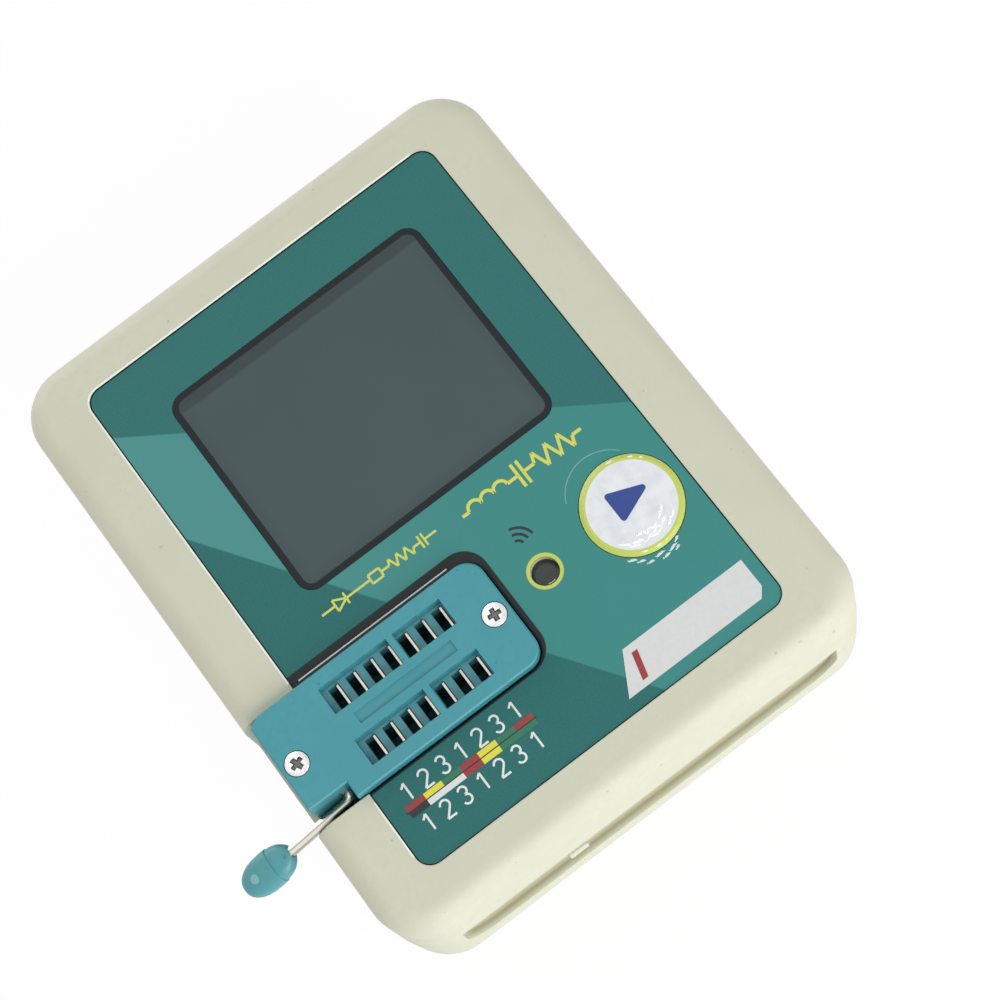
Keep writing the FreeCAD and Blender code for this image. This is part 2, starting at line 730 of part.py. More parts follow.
def make_socket_base():
    """Socket body: comb well, two contact trenches, pin slits, lever bearings and screw holes."""
    body = socket_body("zif_base")
    socket_outline(body, "base_outline", "0", "zif_base_height")
    top = "zif_base_height"
    cut_lever_notch(body, top, "zif_base_height - notch_floor")
    relief = new_sketch(body, "wall_relief", "notch_floor")
    inside = "wall + zif_gap - zif_inset - zif_length / 2"
    outside, front = "-zif_length", "-zif_width"
    polygon(relief, [(outside, front), (inside, front), (inside, "notch_y"), (outside, "notch_y")])
    extrude("Pocket", relief, "2 * notch_floor")

    well = new_sketch(body, "comb_well", top)
    left = f"{SLIDER_LEFT} - slider_side_gap"
    right = f"{SLIDER_RIGHT} + slider_travel + slider_side_gap"
    half = "slider_width / 2 + slider_side_gap"
    polygon(well, [(left, f"-({half})"), (right, f"-({half})"), (right, half), (left, half)])
    extrude("Pocket", well, f"zif_base_height - {SLIDER_FLOOR}")

    trenches = new_sketch(body, "trenches", top)
    middle = f"(contact_x + {LAST_CONTACT}) / 2"
    run = "contact_count * contact_pitch"
    for side in ("-", "+"):
        rectangle(trenches, middle, f"0 {side} row_spacing / 2", run, "contact_width + 2 * contact_gap")
    extrude("Pocket", trenches, "zif_base_height - contact_seat")
    slits = new_sketch(body, "pin_slits", "contact_seat")
    for side in ("-", "+"):
        for i in range(int(number("contact_count"))):
            x = f"contact_x + {i} * contact_pitch"
            size = ("contact_thick + 2 * tail_gap", "tail_width + 2 * tail_gap")
            rectangle(slits, x, f"0 {side} row_spacing / 2", *size)
    extrude("Pocket", slits, "2 * contact_seat")

    # Room for the comb's fork and the cam, then the two open bearings beside it
    fork = new_sketch(body, "fork_well", top)
    fork_left = f"{CAM_REST_X} - {FORK_INNER} - jaw_thick - slider_side_gap"
    fork_right = f"{CAM_REST_X} + {FORK_INNER} + jaw_thick + slider_travel + slider_side_gap"
    low, high = "fork_y - cam_width / 2 - slider_gap", "fork_y + cam_width / 2 + slider_gap"
    polygon(fork, [(fork_left, low), (fork_right, low), (fork_right, high), (fork_left, high)])
    extrude("Pocket", fork, f"zif_base_height - pivot_height + cam_radius - slider_gap")
    link = new_sketch(body, "link_well", top)
    polygon(link, [(fork_right, low), (f"{SLIDER_LEFT}", low), (f"{SLIDER_LEFT}", high), (fork_right, high)])
    extrude("Pocket", link, f"zif_base_height - {SLIDER_FLOOR}")
    bearing = new_sketch(body, "bearings", top)
    size = ("rod_diameter + 2 * rod_gap", "bearing_end + zif_width")
    rectangle(bearing, "pivot_x", "(bearing_end - zif_width) / 2", *size)
    extrude("Pocket", bearing, "zif_base_height - pivot_height + rod_diameter / 2 + rod_gap")

    pilots = new_sketch(body, "base_screw_holes", top)
    for side in ("-", ""):
        circle(pilots, f"{side}zif_screw_x", "0", "zif_screw_diameter + 2 * screw_gap")
    extrude("Pocket", pilots, "zif_screw_length")
    return body


def make_socket_cover():
    """Socket cover: contact windows, bare plaque, screw seats and pads that hold the lever down."""
    body = socket_body("zif_cover")
    socket_outline(body, "cover_outline", "zif_base_height", "zif_cover_thick")
    top = "zif_base_height + zif_cover_thick"
    notched = cut_lever_notch(body, top, "2 * zif_cover_thick")
    soften("Chamfer", notched, "zif_edge_bevel", level(top))

    windows = new_sketch(body, "cell_windows", top)
    left = "cell_window_x - cell_window_length / 2"
    right = "cell_window_x + cell_window_length / 2"
    for side in ("-", "+"):
        for start, end in ((left, "bar_x - bar_width / 2"), ("bar_x + bar_width / 2", right)):
            middle = f"(({start}) + ({end})) / 2"
            size = (f"({end}) - ({start})", "cell_window_width")
            rectangle(windows, middle, f"0 {side} row_spacing / 2", *size)
    extrude("Pocket", windows, "2 * zif_cover_thick")
    plaque = new_sketch(body, "plaque", top)
    rectangle(plaque, "cell_window_x", "0", "plaque_length", "plaque_width")
    extrude("Pocket", plaque, "plaque_depth")
    seats = new_sketch(body, "screw_seats", top)
    holes = new_sketch(body, "screw_holes", top)
    for side in ("-", ""):
        circle(seats, f"{side}zif_screw_x", "0", "zif_screw_head + 2 * screw_gap")
        circle(holes, f"{side}zif_screw_x", "0", "zif_screw_diameter + 2 * screw_gap")
    extrude("Pocket", seats, "zif_screw_sink")
    extrude("Pocket", holes, "2 * zif_cover_thick")

    pads = new_sketch(body, "lever_pads", "zif_base_height")
    pad_low = ("notch_y + rod_gap", "fork_y - cam_width / 2 - 2 * slider_gap")
    pad_high = ("fork_y + cam_width / 2 + 2 * slider_gap", "bearing_end - rod_gap")
    for low, high in (pad_low, pad_high):
        rectangle(pads, "pivot_x", f"(({low}) + ({high})) / 2", "rod_diameter", f"({high}) - ({low})")
    extrude("Pad", pads, "zif_base_height - pivot_height - rod_diameter / 2 - rod_gap", reverse=True)
    return body


def make_socket_slider():
    """Sliding comb: a plate with a cell for every contact, and a fork that straddles the lever's cam."""
    body = socket_body("zif_slider")
    top = "(zif_base_height - slider_gap)"
    under = f"({top} - slider_thick)"
    plate = new_sketch(body, "comb_plate", under)
    half = "slider_width / 2"
    front_edge = [(SLIDER_LEFT, f"-{half}"), (SLIDER_RIGHT, f"-{half}")]
    polygon(plate, front_edge + [(SLIDER_RIGHT, half), (SLIDER_LEFT, half)])
    extrude("Pad", plate, "slider_thick")
    cells = new_sketch(body, "cells", top)
    for side in ("-", "+"):
        for i in range(int(number("contact_count"))):
            right = f"contact_x + {i} * contact_pitch + contact_thick / 2 + contact_gap"
            width = "(contact_pitch - rib_width)"
            rectangle(cells, f"{right} - {width} / 2", f"0 {side} row_spacing / 2", width, "cell_width")
    extrude("Pocket", cells, "2 * slider_thick")

    # Side view of the fork: a bridge over the cam with a jaw on each side of it
    fork = new_sketch(body, "fork", "-fork_y - fork_width / 2", "XZ_Plane")
    left_in, right_in = f"{CAM_REST_X} - {FORK_INNER}", f"{CAM_REST_X} + {FORK_INNER}"
    left_out, right_out = f"{left_in} - jaw_thick", f"{right_in} + jaw_thick"
    foot, bridge = f"{top} - jaw_depth", f"{top} - bridge_thick"
    polygon(fork, [
        (left_out, foot), (left_in, foot), (left_in, bridge), (right_in, bridge), (right_in, foot),
        (right_out, foot), (right_out, under), (f"{SLIDER_LEFT} + slider_end / 2", under),
        (f"{SLIDER_LEFT} + slider_end / 2", top), (left_out, top),
    ])
    extrude("Pad", fork, "fork_width")
    return body


def make_contacts():
    """Two rows of contact leaves, each with a tail that goes through the board."""
    leaf = new_body("contact_form")
    blade = new_sketch(leaf, "blade", "contact_seat")
    rectangle(blade, "0", "0", "contact_thick", "contact_width")
    extrude("Pad", blade, "contact_rise - contact_seat")
    tail = new_sketch(leaf, "tail", "contact_seat")
    rectangle(tail, "0", "0", "contact_thick", "tail_width")
    extrude("Pad", tail, "contact_seat + board_thick + tail_length", reverse=True)
    x, y, z = number(f"{ZIF_X} + contact_x"), number("zif_y"), number(BOARD_TOP)
    pitch, spacing = number("contact_pitch"), number("row_spacing")
    places = [
        Vector(x + i * pitch, y + side * spacing / 2, z)
        for side in (-1, 1)
        for i in range(int(number("contact_count")))
    ]
    return solid_group("zif_contacts", [leaf.Shape.translated(place) for place in places])


def make_socket_screws():
    """The two screws that hold the cover on the base."""
    seat = "zif_base_height + zif_cover_thick - zif_screw_sink"
    length = "zif_screw_length + zif_cover_thick - zif_screw_sink - 4 * screw_gap"
    shank = cylinder("socket_shank", "zif_screw_diameter", length, f"{seat} - ({length})")
    head = cylinder("socket_head", "zif_screw_head", "zif_screw_head_height", seat)
    form = doc.addObject("Part::Fuse", "socket_screw_form")
    form.Base, form.Tool = shank, head
    doc.recompute()
    x, y, z = number(ZIF_X), number("zif_y"), number(BOARD_TOP)
    reach = number("zif_screw_x")
    places = [Vector(x + side * reach, y, z) for side in (-1, 1)]
    return solid_group("zif_screws", [form.Shape.translated(place) for place in places])


def lever_place():
    """The lever's own frame: its axle on Y, its arm along -X, turned down to the closed position."""
    pivot = (number(f"{ZIF_X} + pivot_x"), number("zif_y"), number(f"{BOARD_TOP} + pivot_height"))
    return Placement(Vector(*pivot), Rotation(Vector(0, 1, 0), -number("arm_slope")))


def make_lever():
    """Bent rod with a cam on its axle, and the moulded knob on its end."""
    body = doc.addObject("PartDesign::Body", "zif_lever")
    body.Label = "zif_lever"
    body.Placement = lever_place()
    route = new_sketch(body, "rod_route")
    bend, arm_y = number("rod_bend"), number("arm_y")
    axle = Part.LineSegment(Vector(0, number("axle_end"), 0), Vector(0, arm_y + bend, 0))
    corner = Part.Circle(Vector(-bend, arm_y + bend, 0), Vector(0, 0, 1), bend)
    arm = Part.LineSegment(Vector(-bend, arm_y, 0), Vector(-number("arm_length + knob_grip"), arm_y, 0))
    route.addGeometry(axle)
    route.addGeometry(Part.ArcOfCircle(corner, -math.pi / 2, 0))
    route.addGeometry(arm)
    route.addConstraint(Sketcher.Constraint("Tangent", 0, 2, 1, 2))
    route.addConstraint(Sketcher.Constraint("Tangent", 1, 1, 2, 1))
    route.addConstraint(Sketcher.Constraint("Vertical", 0))
    route.addConstraint(Sketcher.Constraint("Horizontal", 2))
    pin_point(route, 0, 1, "0", "axle_end")
    dimension(route, "Radius", (1,), "rod_bend")
    pin_point(route, 2, 2, "-arm_length - knob_grip", "arm_y")
    section = new_sketch(body, "rod_section", "-axle_end", "XZ_Plane")
    circle(section, "0", "0", "rod_diameter")
    doc.recompute()
    rod = body.newObject("PartDesign::AdditivePipe", "rod")
    rod.Profile = section
    rod.Spine = (route, ["Edge1", "Edge2", "Edge3"])
    doc.recompute()
    # The cam leans back from upright by half the swing, less the slope that the lever's frame already has
    cam = new_sketch(body, "cam", "-fork_y - cam_width / 2", "XZ_Plane")
    lean = "(arm_slope - arm_swing / 2)"
    circle(cam, f"{CAM_THROW} * sin({lean})", f"{CAM_THROW} * cos({lean})", "2 * cam_radius")
    extrude("Pad", cam, "cam_width")
    return [body, make_knob()]


def make_knob():
    """Pebble-shaped knob: a body with a round end, a neck that narrows to the rod, and its bore."""
    body = doc.addObject("PartDesign::Body", "zif_lever_knob")
    body.Label = "zif_lever_knob"
    on_arm = Placement(Vector(-number("arm_length"), number("arm_y"), 0), Rotation())
    body.Placement = lever_place().multiply(on_arm)
    outline = new_sketch(body, "knob_outline", "-knob_thick / 2")
    half, straight = number("knob_width / 2"), number("knob_body - knob_width / 2")
    step, centre = -number("knob_neck"), -number("knob_neck") - straight
    tip = Part.Circle(Vector(centre, 0, 0), Vector(0, 0, 1), half)
    outline.addGeometry(Part.LineSegment(Vector(step, -half, 0), Vector(step, half, 0)))
    outline.addGeometry(Part.LineSegment(Vector(step, half, 0), Vector(centre, half, 0)))
    outline.addGeometry(Part.ArcOfCircle(tip, math.pi / 2, 3 * math.pi / 2))
    outline.addGeometry(Part.LineSegment(Vector(centre, -half, 0), Vector(step, -half, 0)))
    outline.addConstraint(Sketcher.Constraint("Coincident", 0, 2, 1, 1))
    outline.addConstraint(Sketcher.Constraint("Tangent", 1, 2, 2, 1))
    outline.addConstraint(Sketcher.Constraint("Tangent", 2, 2, 3, 1))
    outline.addConstraint(Sketcher.Constraint("Coincident", 3, 2, 0, 1))
    outline.addConstraint(Sketcher.Constraint("Horizontal", 1))
    outline.addConstraint(Sketcher.Constraint("Horizontal", 3))
    pin_point(outline, 0, 1, "-knob_neck", "-knob_width / 2")
    pin_point(outline, 0, 2, "-knob_neck", "knob_width / 2")
    dimension(outline, "DistanceX", (-1, 1, 2, 3), "knob_width / 2 - knob_body - knob_neck")
    pebble = extrude("Pad", outline, "knob_thick")
    soften("Fillet", pebble, "knob_round", lambda box: box.ZLength < 1e-4 and box.XLength > 1e-3)

    step_size = ("knob_width - 2 * knob_step", "knob_thick - 2 * knob_step", "knob_round")
    shoulder_size = ("knob_shoulder_width", "knob_shoulder_thick", "knob_shoulder_radius")
    sections = []
    for name, lift, size in (
        ("knob_mouth_section", "0", ("knob_mouth", "knob_mouth", "knob_mouth_radius")),
        ("knob_shoulder_section", "-knob_shoulder", shoulder_size),
        ("knob_step_section", "-knob_neck", step_size),
    ):
        section = new_sketch(body, name, lift, "YZ_Plane")
        rounded_rectangle(section, "0", "0", *size)
        sections.append(section)
    doc.recompute()
    neck = body.newObject("PartDesign::AdditiveLoft", "knob_neck_loft")
    neck.Profile = sections[0]
    neck.Sections = sections[1:]
    neck.Ruled = True
    doc.recompute()
    bore = new_sketch(body, "knob_bore", "0", "YZ_Plane")
    circle(bore, "0", "0", "rod_diameter + 2 * knob_gap")
    extrude("Pocket", bore, "knob_grip")
    return body


def make_press_area():
    """Domed press disc in the film, the switch stem that carries it and the switch on the board."""
    disc = new_body("start_button", "button_x", "button_y", BUTTON_UNDER)
    profile = new_sketch(disc, "disc_profile", "0", "XZ_Plane")
    radius = "button_diameter / 2"
    shoulder = "button_diameter / 2 - 2 * button_dome"
    crown = "button_thick + button_dome"
    polygon(profile, [
        ("0", "0"), (radius, "0"), (radius, "button_thick"), (shoulder, crown), ("0", crown),
    ])
    turned = disc.newObject("PartDesign::Revolution", "disc")
    turned.Profile = profile
    turned.ReferenceAxis = (profile, ["V_Axis"])
    turned.Angle = 360
    doc.recompute()

    base_top = f"({BOARD_TOP} + switch_height)"
    stem = new_body("switch_plunger", "button_x", "button_y", f"{base_top} - stem_seat")
    rod = new_sketch(stem, "stem_section")
    circle(rod, "0", "0", "stem_diameter")
    extrude("Pad", rod, f"{BUTTON_UNDER} - {base_top} + stem_seat")

    switch = new_body("switch_body", "button_x", "button_y", BOARD_TOP)
    case = new_sketch(switch, "switch_outline")
    rectangle(case, "0", "0", "switch_side", "switch_side")
    extrude("Pad", case, "switch_height")
    bore = new_sketch(switch, "switch_bore", "switch_height")
    circle(bore, "0", "0", "stem_diameter + 2 * stem_gap")
    extrude("Pocket", bore, "stem_seat + button_travel + stem_room")
    legs = new_sketch(switch, "switch_legs")
    for side in ("-", ""):
        for end in ("-", ""):
            x, y = f"{side}switch_side / 2", f"{end}switch_leg_spacing / 2"
            rectangle(legs, x, y, "2 * switch_leg_reach", "switch_leg")
    extrude("Pad", legs, "switch_leg_thick")
    return [disc, stem, switch]


def make_receiver():
    """Infrared receiver: a block with a bevelled lens barrel under the hole."""
    body = new_body("ir_receiver", "ir_x", "ir_y", BOARD_TOP)
    outline = new_sketch(body, "receiver_outline")
    rectangle(outline, "0", "0", "ir_width", "ir_length")
    extrude("Pad", outline, "ir_height")
    lens = new_sketch(body, "lens")
    circle(lens, "0", "0", "2 * ir_lens")
    barrel = extrude("Pad", lens, "ir_height + ir_lens_rise")
    soften("Chamfer", barrel, "ir_lens_bevel", level("ir_height + ir_lens_rise"))
    return body


def make_inlet():
    """Charging inlet, open to the rear, and the small lamp beside it."""
    body = new_body("usb_socket", "usb_x", "case_length / 2 - usb_inset", BOARD_TOP)
    shell = new_sketch(body, "inlet_shell", "usb_length", "XZ_Plane")
    rounded_rectangle(shell, "0", "usb_height / 2", "usb_width", "usb_height", "usb_corner")
    extrude("Pad", shell, "usb_length", reverse=True)
    mouth = new_sketch(body, "inlet_mouth", "0", "XZ_Plane")
    size = ("usb_width - 2 * usb_skin", "usb_height - 2 * usb_skin")
    rounded_rectangle(mouth, "0", "usb_height / 2", *size, "usb_corner - usb_skin")
    extrude("Pocket", mouth, "usb_length - 2 * usb_skin", reverse=True)
    tongue = new_sketch(body, "inlet_tongue", "usb_length - usb_skin", "XZ_Plane")
    rectangle(tongue, "0", "usb_height / 2", "usb_tongue_width", "usb_tongue_thick")
    extrude("Pad", tongue, "usb_length - usb_skin - usb_tongue_inset", reverse=True)

    led = new_body("charge_led", "led_x", "case_length / 2 - usb_inset", BOARD_TOP)
    foot = new_sketch(led, "led_foot", "led_length", "XZ_Plane")
    rectangle(foot, "0", "led_base / 2", "led_base", "led_base")
    extrude("Pad", foot, "led_length / 2", reverse=True)
    lamp = new_sketch(led, "led_lamp", "led_length", "XZ_Plane")
    circle(lamp, "0", "led_base / 2", "led_diameter")
    extrude("Pad", lamp, "led_length", reverse=True)
    return [body, led]


def eight_sided(centre, radius):
    """A regular eight-sided outline about a point, square to the X axis."""
    corners = []
    for i in range(9):
        turn = math.radians(45 * i)
        corners.append(centre + Vector(0, radius * math.cos(turn), radius * math.sin(turn)))
    return Part.makePolygon(corners)


def make_battery():
    """Flat cell on its tape, with two leads up to a plug under the board."""
    size = ("cell_length - 2 * tape_margin", "cell_breadth - 2 * tape_margin", "tape_thick")
    tape = block("battery_tape", "cell_x", "cell_y", "floor_plate", *size)
    cell = new_body("battery_cell", "cell_x", "cell_y", CELL_BOTTOM)
    pouch = new_sketch(cell, "pouch")
    rounded_rectangle(pouch, "0", "0", "cell_length", "cell_breadth", "cell_round")
    pad = extrude("Pad", pouch, "cell_thick")
    soften("Chamfer", pad, "cell_bevel", level("cell_thick"))

    end = number("cell_x - cell_length / 2")
    height = number(f"{CELL_BOTTOM} + cell_thick / 2")
    plug_under = number(f"{BOARD_UNDER} - plug_height")
    bend, radius = number("lead_bend"), number("lead_diameter") / 2
    run, turn = number("lead_run"), end - number("lead_run") - bend
    leads = []
    for side in (-1, 1):
        y = number("cell_y") + side * number("lead_spacing") / 2
        section = Part.Face(eight_sided(Vector(end, y, height), radius))
        flat = section.extrude(Vector(-run, 0, 0))
        knee_centre = Vector(turn + bend, y, height + bend)
        knee = section.translated(Vector(-run, 0, 0)).revolve(knee_centre, Vector(0, 1, 0), 90)
        top_of_knee = section.translated(Vector(-run, 0, 0)).rotated(knee_centre, Vector(0, 1, 0), 90)
        riser = top_of_knee.extrude(Vector(0, 0, plug_under - height - bend))
        leads.append(flat.fuse([knee, riser]).removeSplitter())
    group = solid_group("battery_leads", leads)
    plug_x = "cell_x - cell_length / 2 - lead_run - lead_bend"
    under = f"{BOARD_UNDER} - plug_height"
    plug = block("battery_connector", plug_x, "cell_y", under, "plug_length", "plug_width", "plug_height")
    return [tape, cell, group, plug]


def make_chips():
    """Chips on the board's underside."""
    mcu = new_body("microcontroller", "mcu_x", "mcu_y", f"{BOARD_UNDER} - mcu_height")
    square = new_sketch(mcu, "mcu_outline")
    rectangle(square, "0", "0", "mcu_side", "mcu_side")
    pad = extrude("Pad", square, "mcu_height")
    soften("Chamfer", pad, "mcu_bevel", level("0"))
    size = ("crystal_length", "crystal_width", "crystal_height")
    crystal = block("crystal", "crystal_x", "crystal_y", f"{BOARD_UNDER} - crystal_height", *size)
    x = number("chip_x - chip_length / 2")
    y = number("case_length / 2 - wall - board_gap - chip_inset - chip_width / 2")
    z, step = number(f"{BOARD_UNDER} - chip_height"), number("chip_step")
    chip_size = (number("chip_length"), number("chip_width"), number("chip_height"))
    chips = [Part.makeBox(*chip_size, Vector(x - i * step, y, z)) for i in range(2)]
    return [mcu, crystal, solid_group("board_chips", chips)]


parts = [make_upper_shell(), make_lower_shell(), make_overlay(), make_socket_base(), make_socket_cover()]
parts += [make_socket_slider(), make_contacts(), make_socket_screws(), make_receiver()]
for several in (make_display, make_board, make_lever, make_press_area, make_inlet, make_battery, make_chips):
    parts += several()
doc.recompute()

for item in doc.Objects:
    if "Invalid" in item.State or "Error" in item.State:
        raise RuntimeError(f"{item.Label} failed: {item.State}")
os.makedirs("parts", exist_ok=True)
for item in parts:
    if item.Shape.isNull() or not item.Shape.isValid():
        raise RuntimeError(f"{item.Label} has no valid shape")
for item in parts:
    item.Shape.exportStep(f"parts/{item.Label}.step")
    print(item.Label, len(item.Shape.Solids), round(item.Shape.Volume, 2))
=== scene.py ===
import math

import bmesh
import bpy
from mathutils import Euler, Matrix, Vector


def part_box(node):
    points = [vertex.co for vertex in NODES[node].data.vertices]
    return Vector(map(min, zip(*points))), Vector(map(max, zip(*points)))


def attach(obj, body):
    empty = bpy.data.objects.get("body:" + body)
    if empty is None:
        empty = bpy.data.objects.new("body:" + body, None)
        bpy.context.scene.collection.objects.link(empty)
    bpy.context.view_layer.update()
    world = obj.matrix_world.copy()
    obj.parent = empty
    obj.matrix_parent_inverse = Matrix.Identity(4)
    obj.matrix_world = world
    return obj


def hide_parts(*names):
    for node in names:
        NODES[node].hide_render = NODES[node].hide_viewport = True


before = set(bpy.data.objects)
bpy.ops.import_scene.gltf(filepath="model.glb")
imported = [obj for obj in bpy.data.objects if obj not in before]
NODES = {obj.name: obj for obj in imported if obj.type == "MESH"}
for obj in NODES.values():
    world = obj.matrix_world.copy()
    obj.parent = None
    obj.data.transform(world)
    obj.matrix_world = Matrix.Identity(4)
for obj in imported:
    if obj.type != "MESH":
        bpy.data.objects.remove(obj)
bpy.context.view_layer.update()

MM = 0.001

# Colours, as red, green and blue from 0 to 255
CREAM = (205, 206, 185)
CREAM_DEEP = (194, 194, 171)
TEAL = (56, 132, 128)
TEAL_BLOT = (51, 126, 121)
TEAL_PALE = (77, 143, 140)
TEAL_DARK = (36, 104, 102)
TEAL_DEEP = (30, 99, 97)
TEAL_GRAIN = (84, 156, 151)
SOCKET_TEAL = (66, 148, 158)
SOCKET_TEAL_DEEP = (52, 132, 146)
KNOB_TEAL = (82, 154, 160)
KNOB_TEAL_DEEP = (62, 132, 139)
PRINT_BLACK = (22, 30, 33)
PRINT_YELLOW = (207, 211, 96)
RING_YELLOW = (192, 205, 98)
PRINT_WHITE = (226, 230, 226)
PRINT_RED = (150, 48, 52)
PRINT_GREEN = (38, 112, 82)
PRINT_BLUE = (36, 66, 138)
SCREEN_GREY = (68, 84, 85)
SCREEN_BLOT = (63, 78, 80)
# Painted shadow of the window's border on the panel
SCREEN_SHADOW = (55, 66, 68)
PEARL = (230, 233, 236)
PEARL_DEEP = (213, 218, 224)
ROD_BRIGHT = (238, 235, 224)
# Painted dark reflections along the lever's rod
ROD_REFLECTION_DARK = (128, 120, 104)
SLOT_SHADE = (166, 163, 132)
GAP_SHADE = (46, 52, 48)

# Heights above the underside, and places from the middle of the case, in millimetres
CASE_TOP = 27.0
FILM_TOP = 26.85
BUTTON_TOP = 27.1
WINDOW_CENTRE = (0.2, 14.15)
BUTTON_CENTRE = (18.72, -16.43)
EYE_CENTRE = (5.75, -16.46)


def linear(colour):
    """A display colour as linear light."""
    values = []
    for part in colour:
        share = part / 255
        values.append(share / 12.92 if share <= 0.04045 else ((share + 0.055) / 1.055) ** 2.4)
    return (*values, 1.0)


def shaded(colour, share):
    """A colour made darker."""
    return [part * share for part in colour]


class Graph:
    """A material's node tree, with short calls for the nodes that the finishes use."""

    def __init__(self, name):
        self.material = bpy.data.materials.new(name)
        self.material.use_nodes = True
        self.tree = self.material.node_tree
        self.shader = self.tree.nodes["Principled BSDF"]
        self.place = self.node("ShaderNodeTexCoord").outputs["Object"]

    def node(self, kind, **settings):
        made = self.tree.nodes.new(kind)
        for key, value in settings.items():
            setattr(made, key, value)
        return made

    def link(self, source, target):
        self.tree.links.new(source, target)

    def feed(self, socket, value):
        """Set a socket, or link it where the value is another node's output."""
        if isinstance(value, bpy.types.NodeSocket):
            self.link(value, socket)
        else:
            socket.default_value = value

    def math(self, operation, *values):
        made = self.node("ShaderNodeMath", operation=operation)
        for socket, value in zip(made.inputs, values):
            self.feed(socket, value)
        return made.outputs[0]

    def axes(self):
        """The place on the part along X, Y and Z, in metres."""
        split = self.node("ShaderNodeSeparateXYZ")
        self.link(self.place, split.inputs[0])
        return split.outputs

    def noise(self, size_mm, detail=2.0, stretch=(1, 1, 1)):
        """Noise whose blots are about size_mm across."""
        mapping = self.node("ShaderNodeMapping")
        self.link(self.place, mapping.inputs["Vector"])
        mapping.inputs["Scale"].default_value = [1 / (size_mm * MM * part) for part in stretch]
        made = self.node("ShaderNodeTexNoise")
        made.inputs["Scale"].default_value = 1.0
        made.inputs["Detail"].default_value = detail
        self.link(mapping.outputs[0], made.inputs["Vector"])
        return made.outputs["Fac"]

    def ramp(self, value, low, high, start=0.0, end=1.0):
        """A value from low to high mapped from start to end and held there."""
        made = self.node("ShaderNodeMapRange")
        for socket, part in zip(made.inputs, (value, low, high, start, end)):
            self.feed(socket, part)
        return made.outputs[0]

    def patches(self, size_mm, detail, band, span, stretch=(1, 1, 1)):
        """Noise blots, with a band of the noise mapped to a span of values."""
        return self.ramp(self.noise(size_mm, detail, stretch), *band, *span)

    def mix(self, share, first, second):
        """Blend of two colours."""
        made = self.node("ShaderNodeMix", data_type="RGBA")
        self.feed(made.inputs["Factor"], share)
        for key, colour in (("A", first), ("B", second)):
            ready = isinstance(colour, bpy.types.NodeSocket)
            self.feed(made.inputs[key], colour if ready else linear(colour))
        return made.outputs["Result"]

    def bump(self, height, strength, depth_mm, base=None):
        """Surface relief from a height between 0 and 1."""
        made = self.node("ShaderNodeBump")
        made.inputs["Strength"].default_value = strength
        made.inputs["Distance"].default_value = depth_mm * MM
        self.link(height, made.inputs["Height"])
        if base is not None:
            self.link(base, made.inputs["Normal"])
        return made.outputs["Normal"]

    def soft_edges(self, radius_mm):
        """Normals that round the edges by a small radius."""
        made = self.node("ShaderNodeBevel", samples=4)
        made.inputs["Radius"].default_value = radius_mm * MM
        return made.outputs["Normal"]

    def box_distance(self, centre, size, radius):
        """Signed distance, in millimetres, to a rounded rectangle on the top face."""
        x, y, _ = self.axes()
        sides = []
        for axis, place, full in zip((x, y), centre, size):
            away = self.math("ABSOLUTE", self.math("SUBTRACT", self.math("DIVIDE", axis, MM), place))
            sides.append(self.math("SUBTRACT", away, full / 2 - radius))
        outer = [self.math("MAXIMUM", side, 0.0) for side in sides]
        squares = [self.math("MULTIPLY", side, side) for side in outer]
        corner = self.math("SQRT", self.math("ADD", *squares))
        inner = self.math("MINIMUM", self.math("MAXIMUM", *sides), 0.0)
        return self.math("SUBTRACT", self.math("ADD", corner, inner), radius)

    def disc_distance(self, centre, radius):
        """Signed distance, in millimetres, to a circle on the top face."""
        x, y, _ = self.axes()
        squares = []
        for axis, place in zip((x, y), centre):
            away = self.math("SUBTRACT", self.math("DIVIDE", axis, MM), place)
            squares.append(self.math("MULTIPLY", away, away))
        return self.math("SUBTRACT", self.math("SQRT", self.math("ADD", *squares)), radius)

    def line_side(self, first, second):
        """Signed distance, in millimetres, from a line through two points, positive on its left."""
        x, y, _ = self.axes()
        along = Vector(second) - Vector(first)
        normal = Vector((-along.y, along.x)).normalized()
        across = self.math("MULTIPLY", x, normal.x / MM)
        up = self.math("MULTIPLY", y, normal.y / MM)
        return self.math("SUBTRACT", self.math("ADD", across, up), normal.dot(Vector(first)))

    def inside(self, distance, blur=0.04):
        """1 inside an outline and 0 outside it."""
        return self.ramp(distance, -blur, blur, 1.0, 0.0)

    def beyond(self, value, limit, blur, above):
        """1 on one side of a limit in millimetres and 0 on the other, for a value in metres."""
        return self.ramp(value, (limit - blur) * MM, (limit + blur) * MM, 1 - above, above)

    def set(self, **values):
        """Set or link the shader's own sockets, named with underscores for spaces."""
        for name, value in values.items():
            socket = self.shader.inputs[name.replace("_", " ")]
            self.feed(socket, value)
        return self.material


# Facets of the print, each a line through two points on the film
UPPER_FACET = ((-25.85, 29.88), (25.79, -5.77))
LOWER_FACET = ((-25.88, 13.23), (8.1, -36.2))
FACET_BLUR = 0.1
# The teal grows lighter towards the left: where that starts and ends along X, and how strong it is
PALE_SPAN = (-26, 4)
PALE_SHARE = 0.75

# Black border printed round the socket, which also marks where black shade is painted on the shell round
# it, and the recess that the film lies in
SOCKET_BORDER_CENTRE = (-19.55, -16.65)
SOCKET_BORDER_SIZE = (40.9, 17.7)
SOCKET_BORDER_RADIUS = 3.4
FILM_LEFT = -26.35
RECESS_SIZE = (53.05, 73.56)
RECESS_RADIUS = 2.2
RECESS_LOW = 26.4
RECESS_TOP = 26.7
RECESS_HIGH = 26.92
RECESS_BLUR = 0.02

# The long slot in the front wall, and the painted shade low in it
SLOT_HALF = 28.2
SLOT_LOW = 7.3
SLOT_FADE = (9.2, 11.6)
SLOT_MOUTH = -42.95
SLOT_BACK = -42.35
SLOT_DEEPEST = -41.6
SLOT_BLUR = 0.03


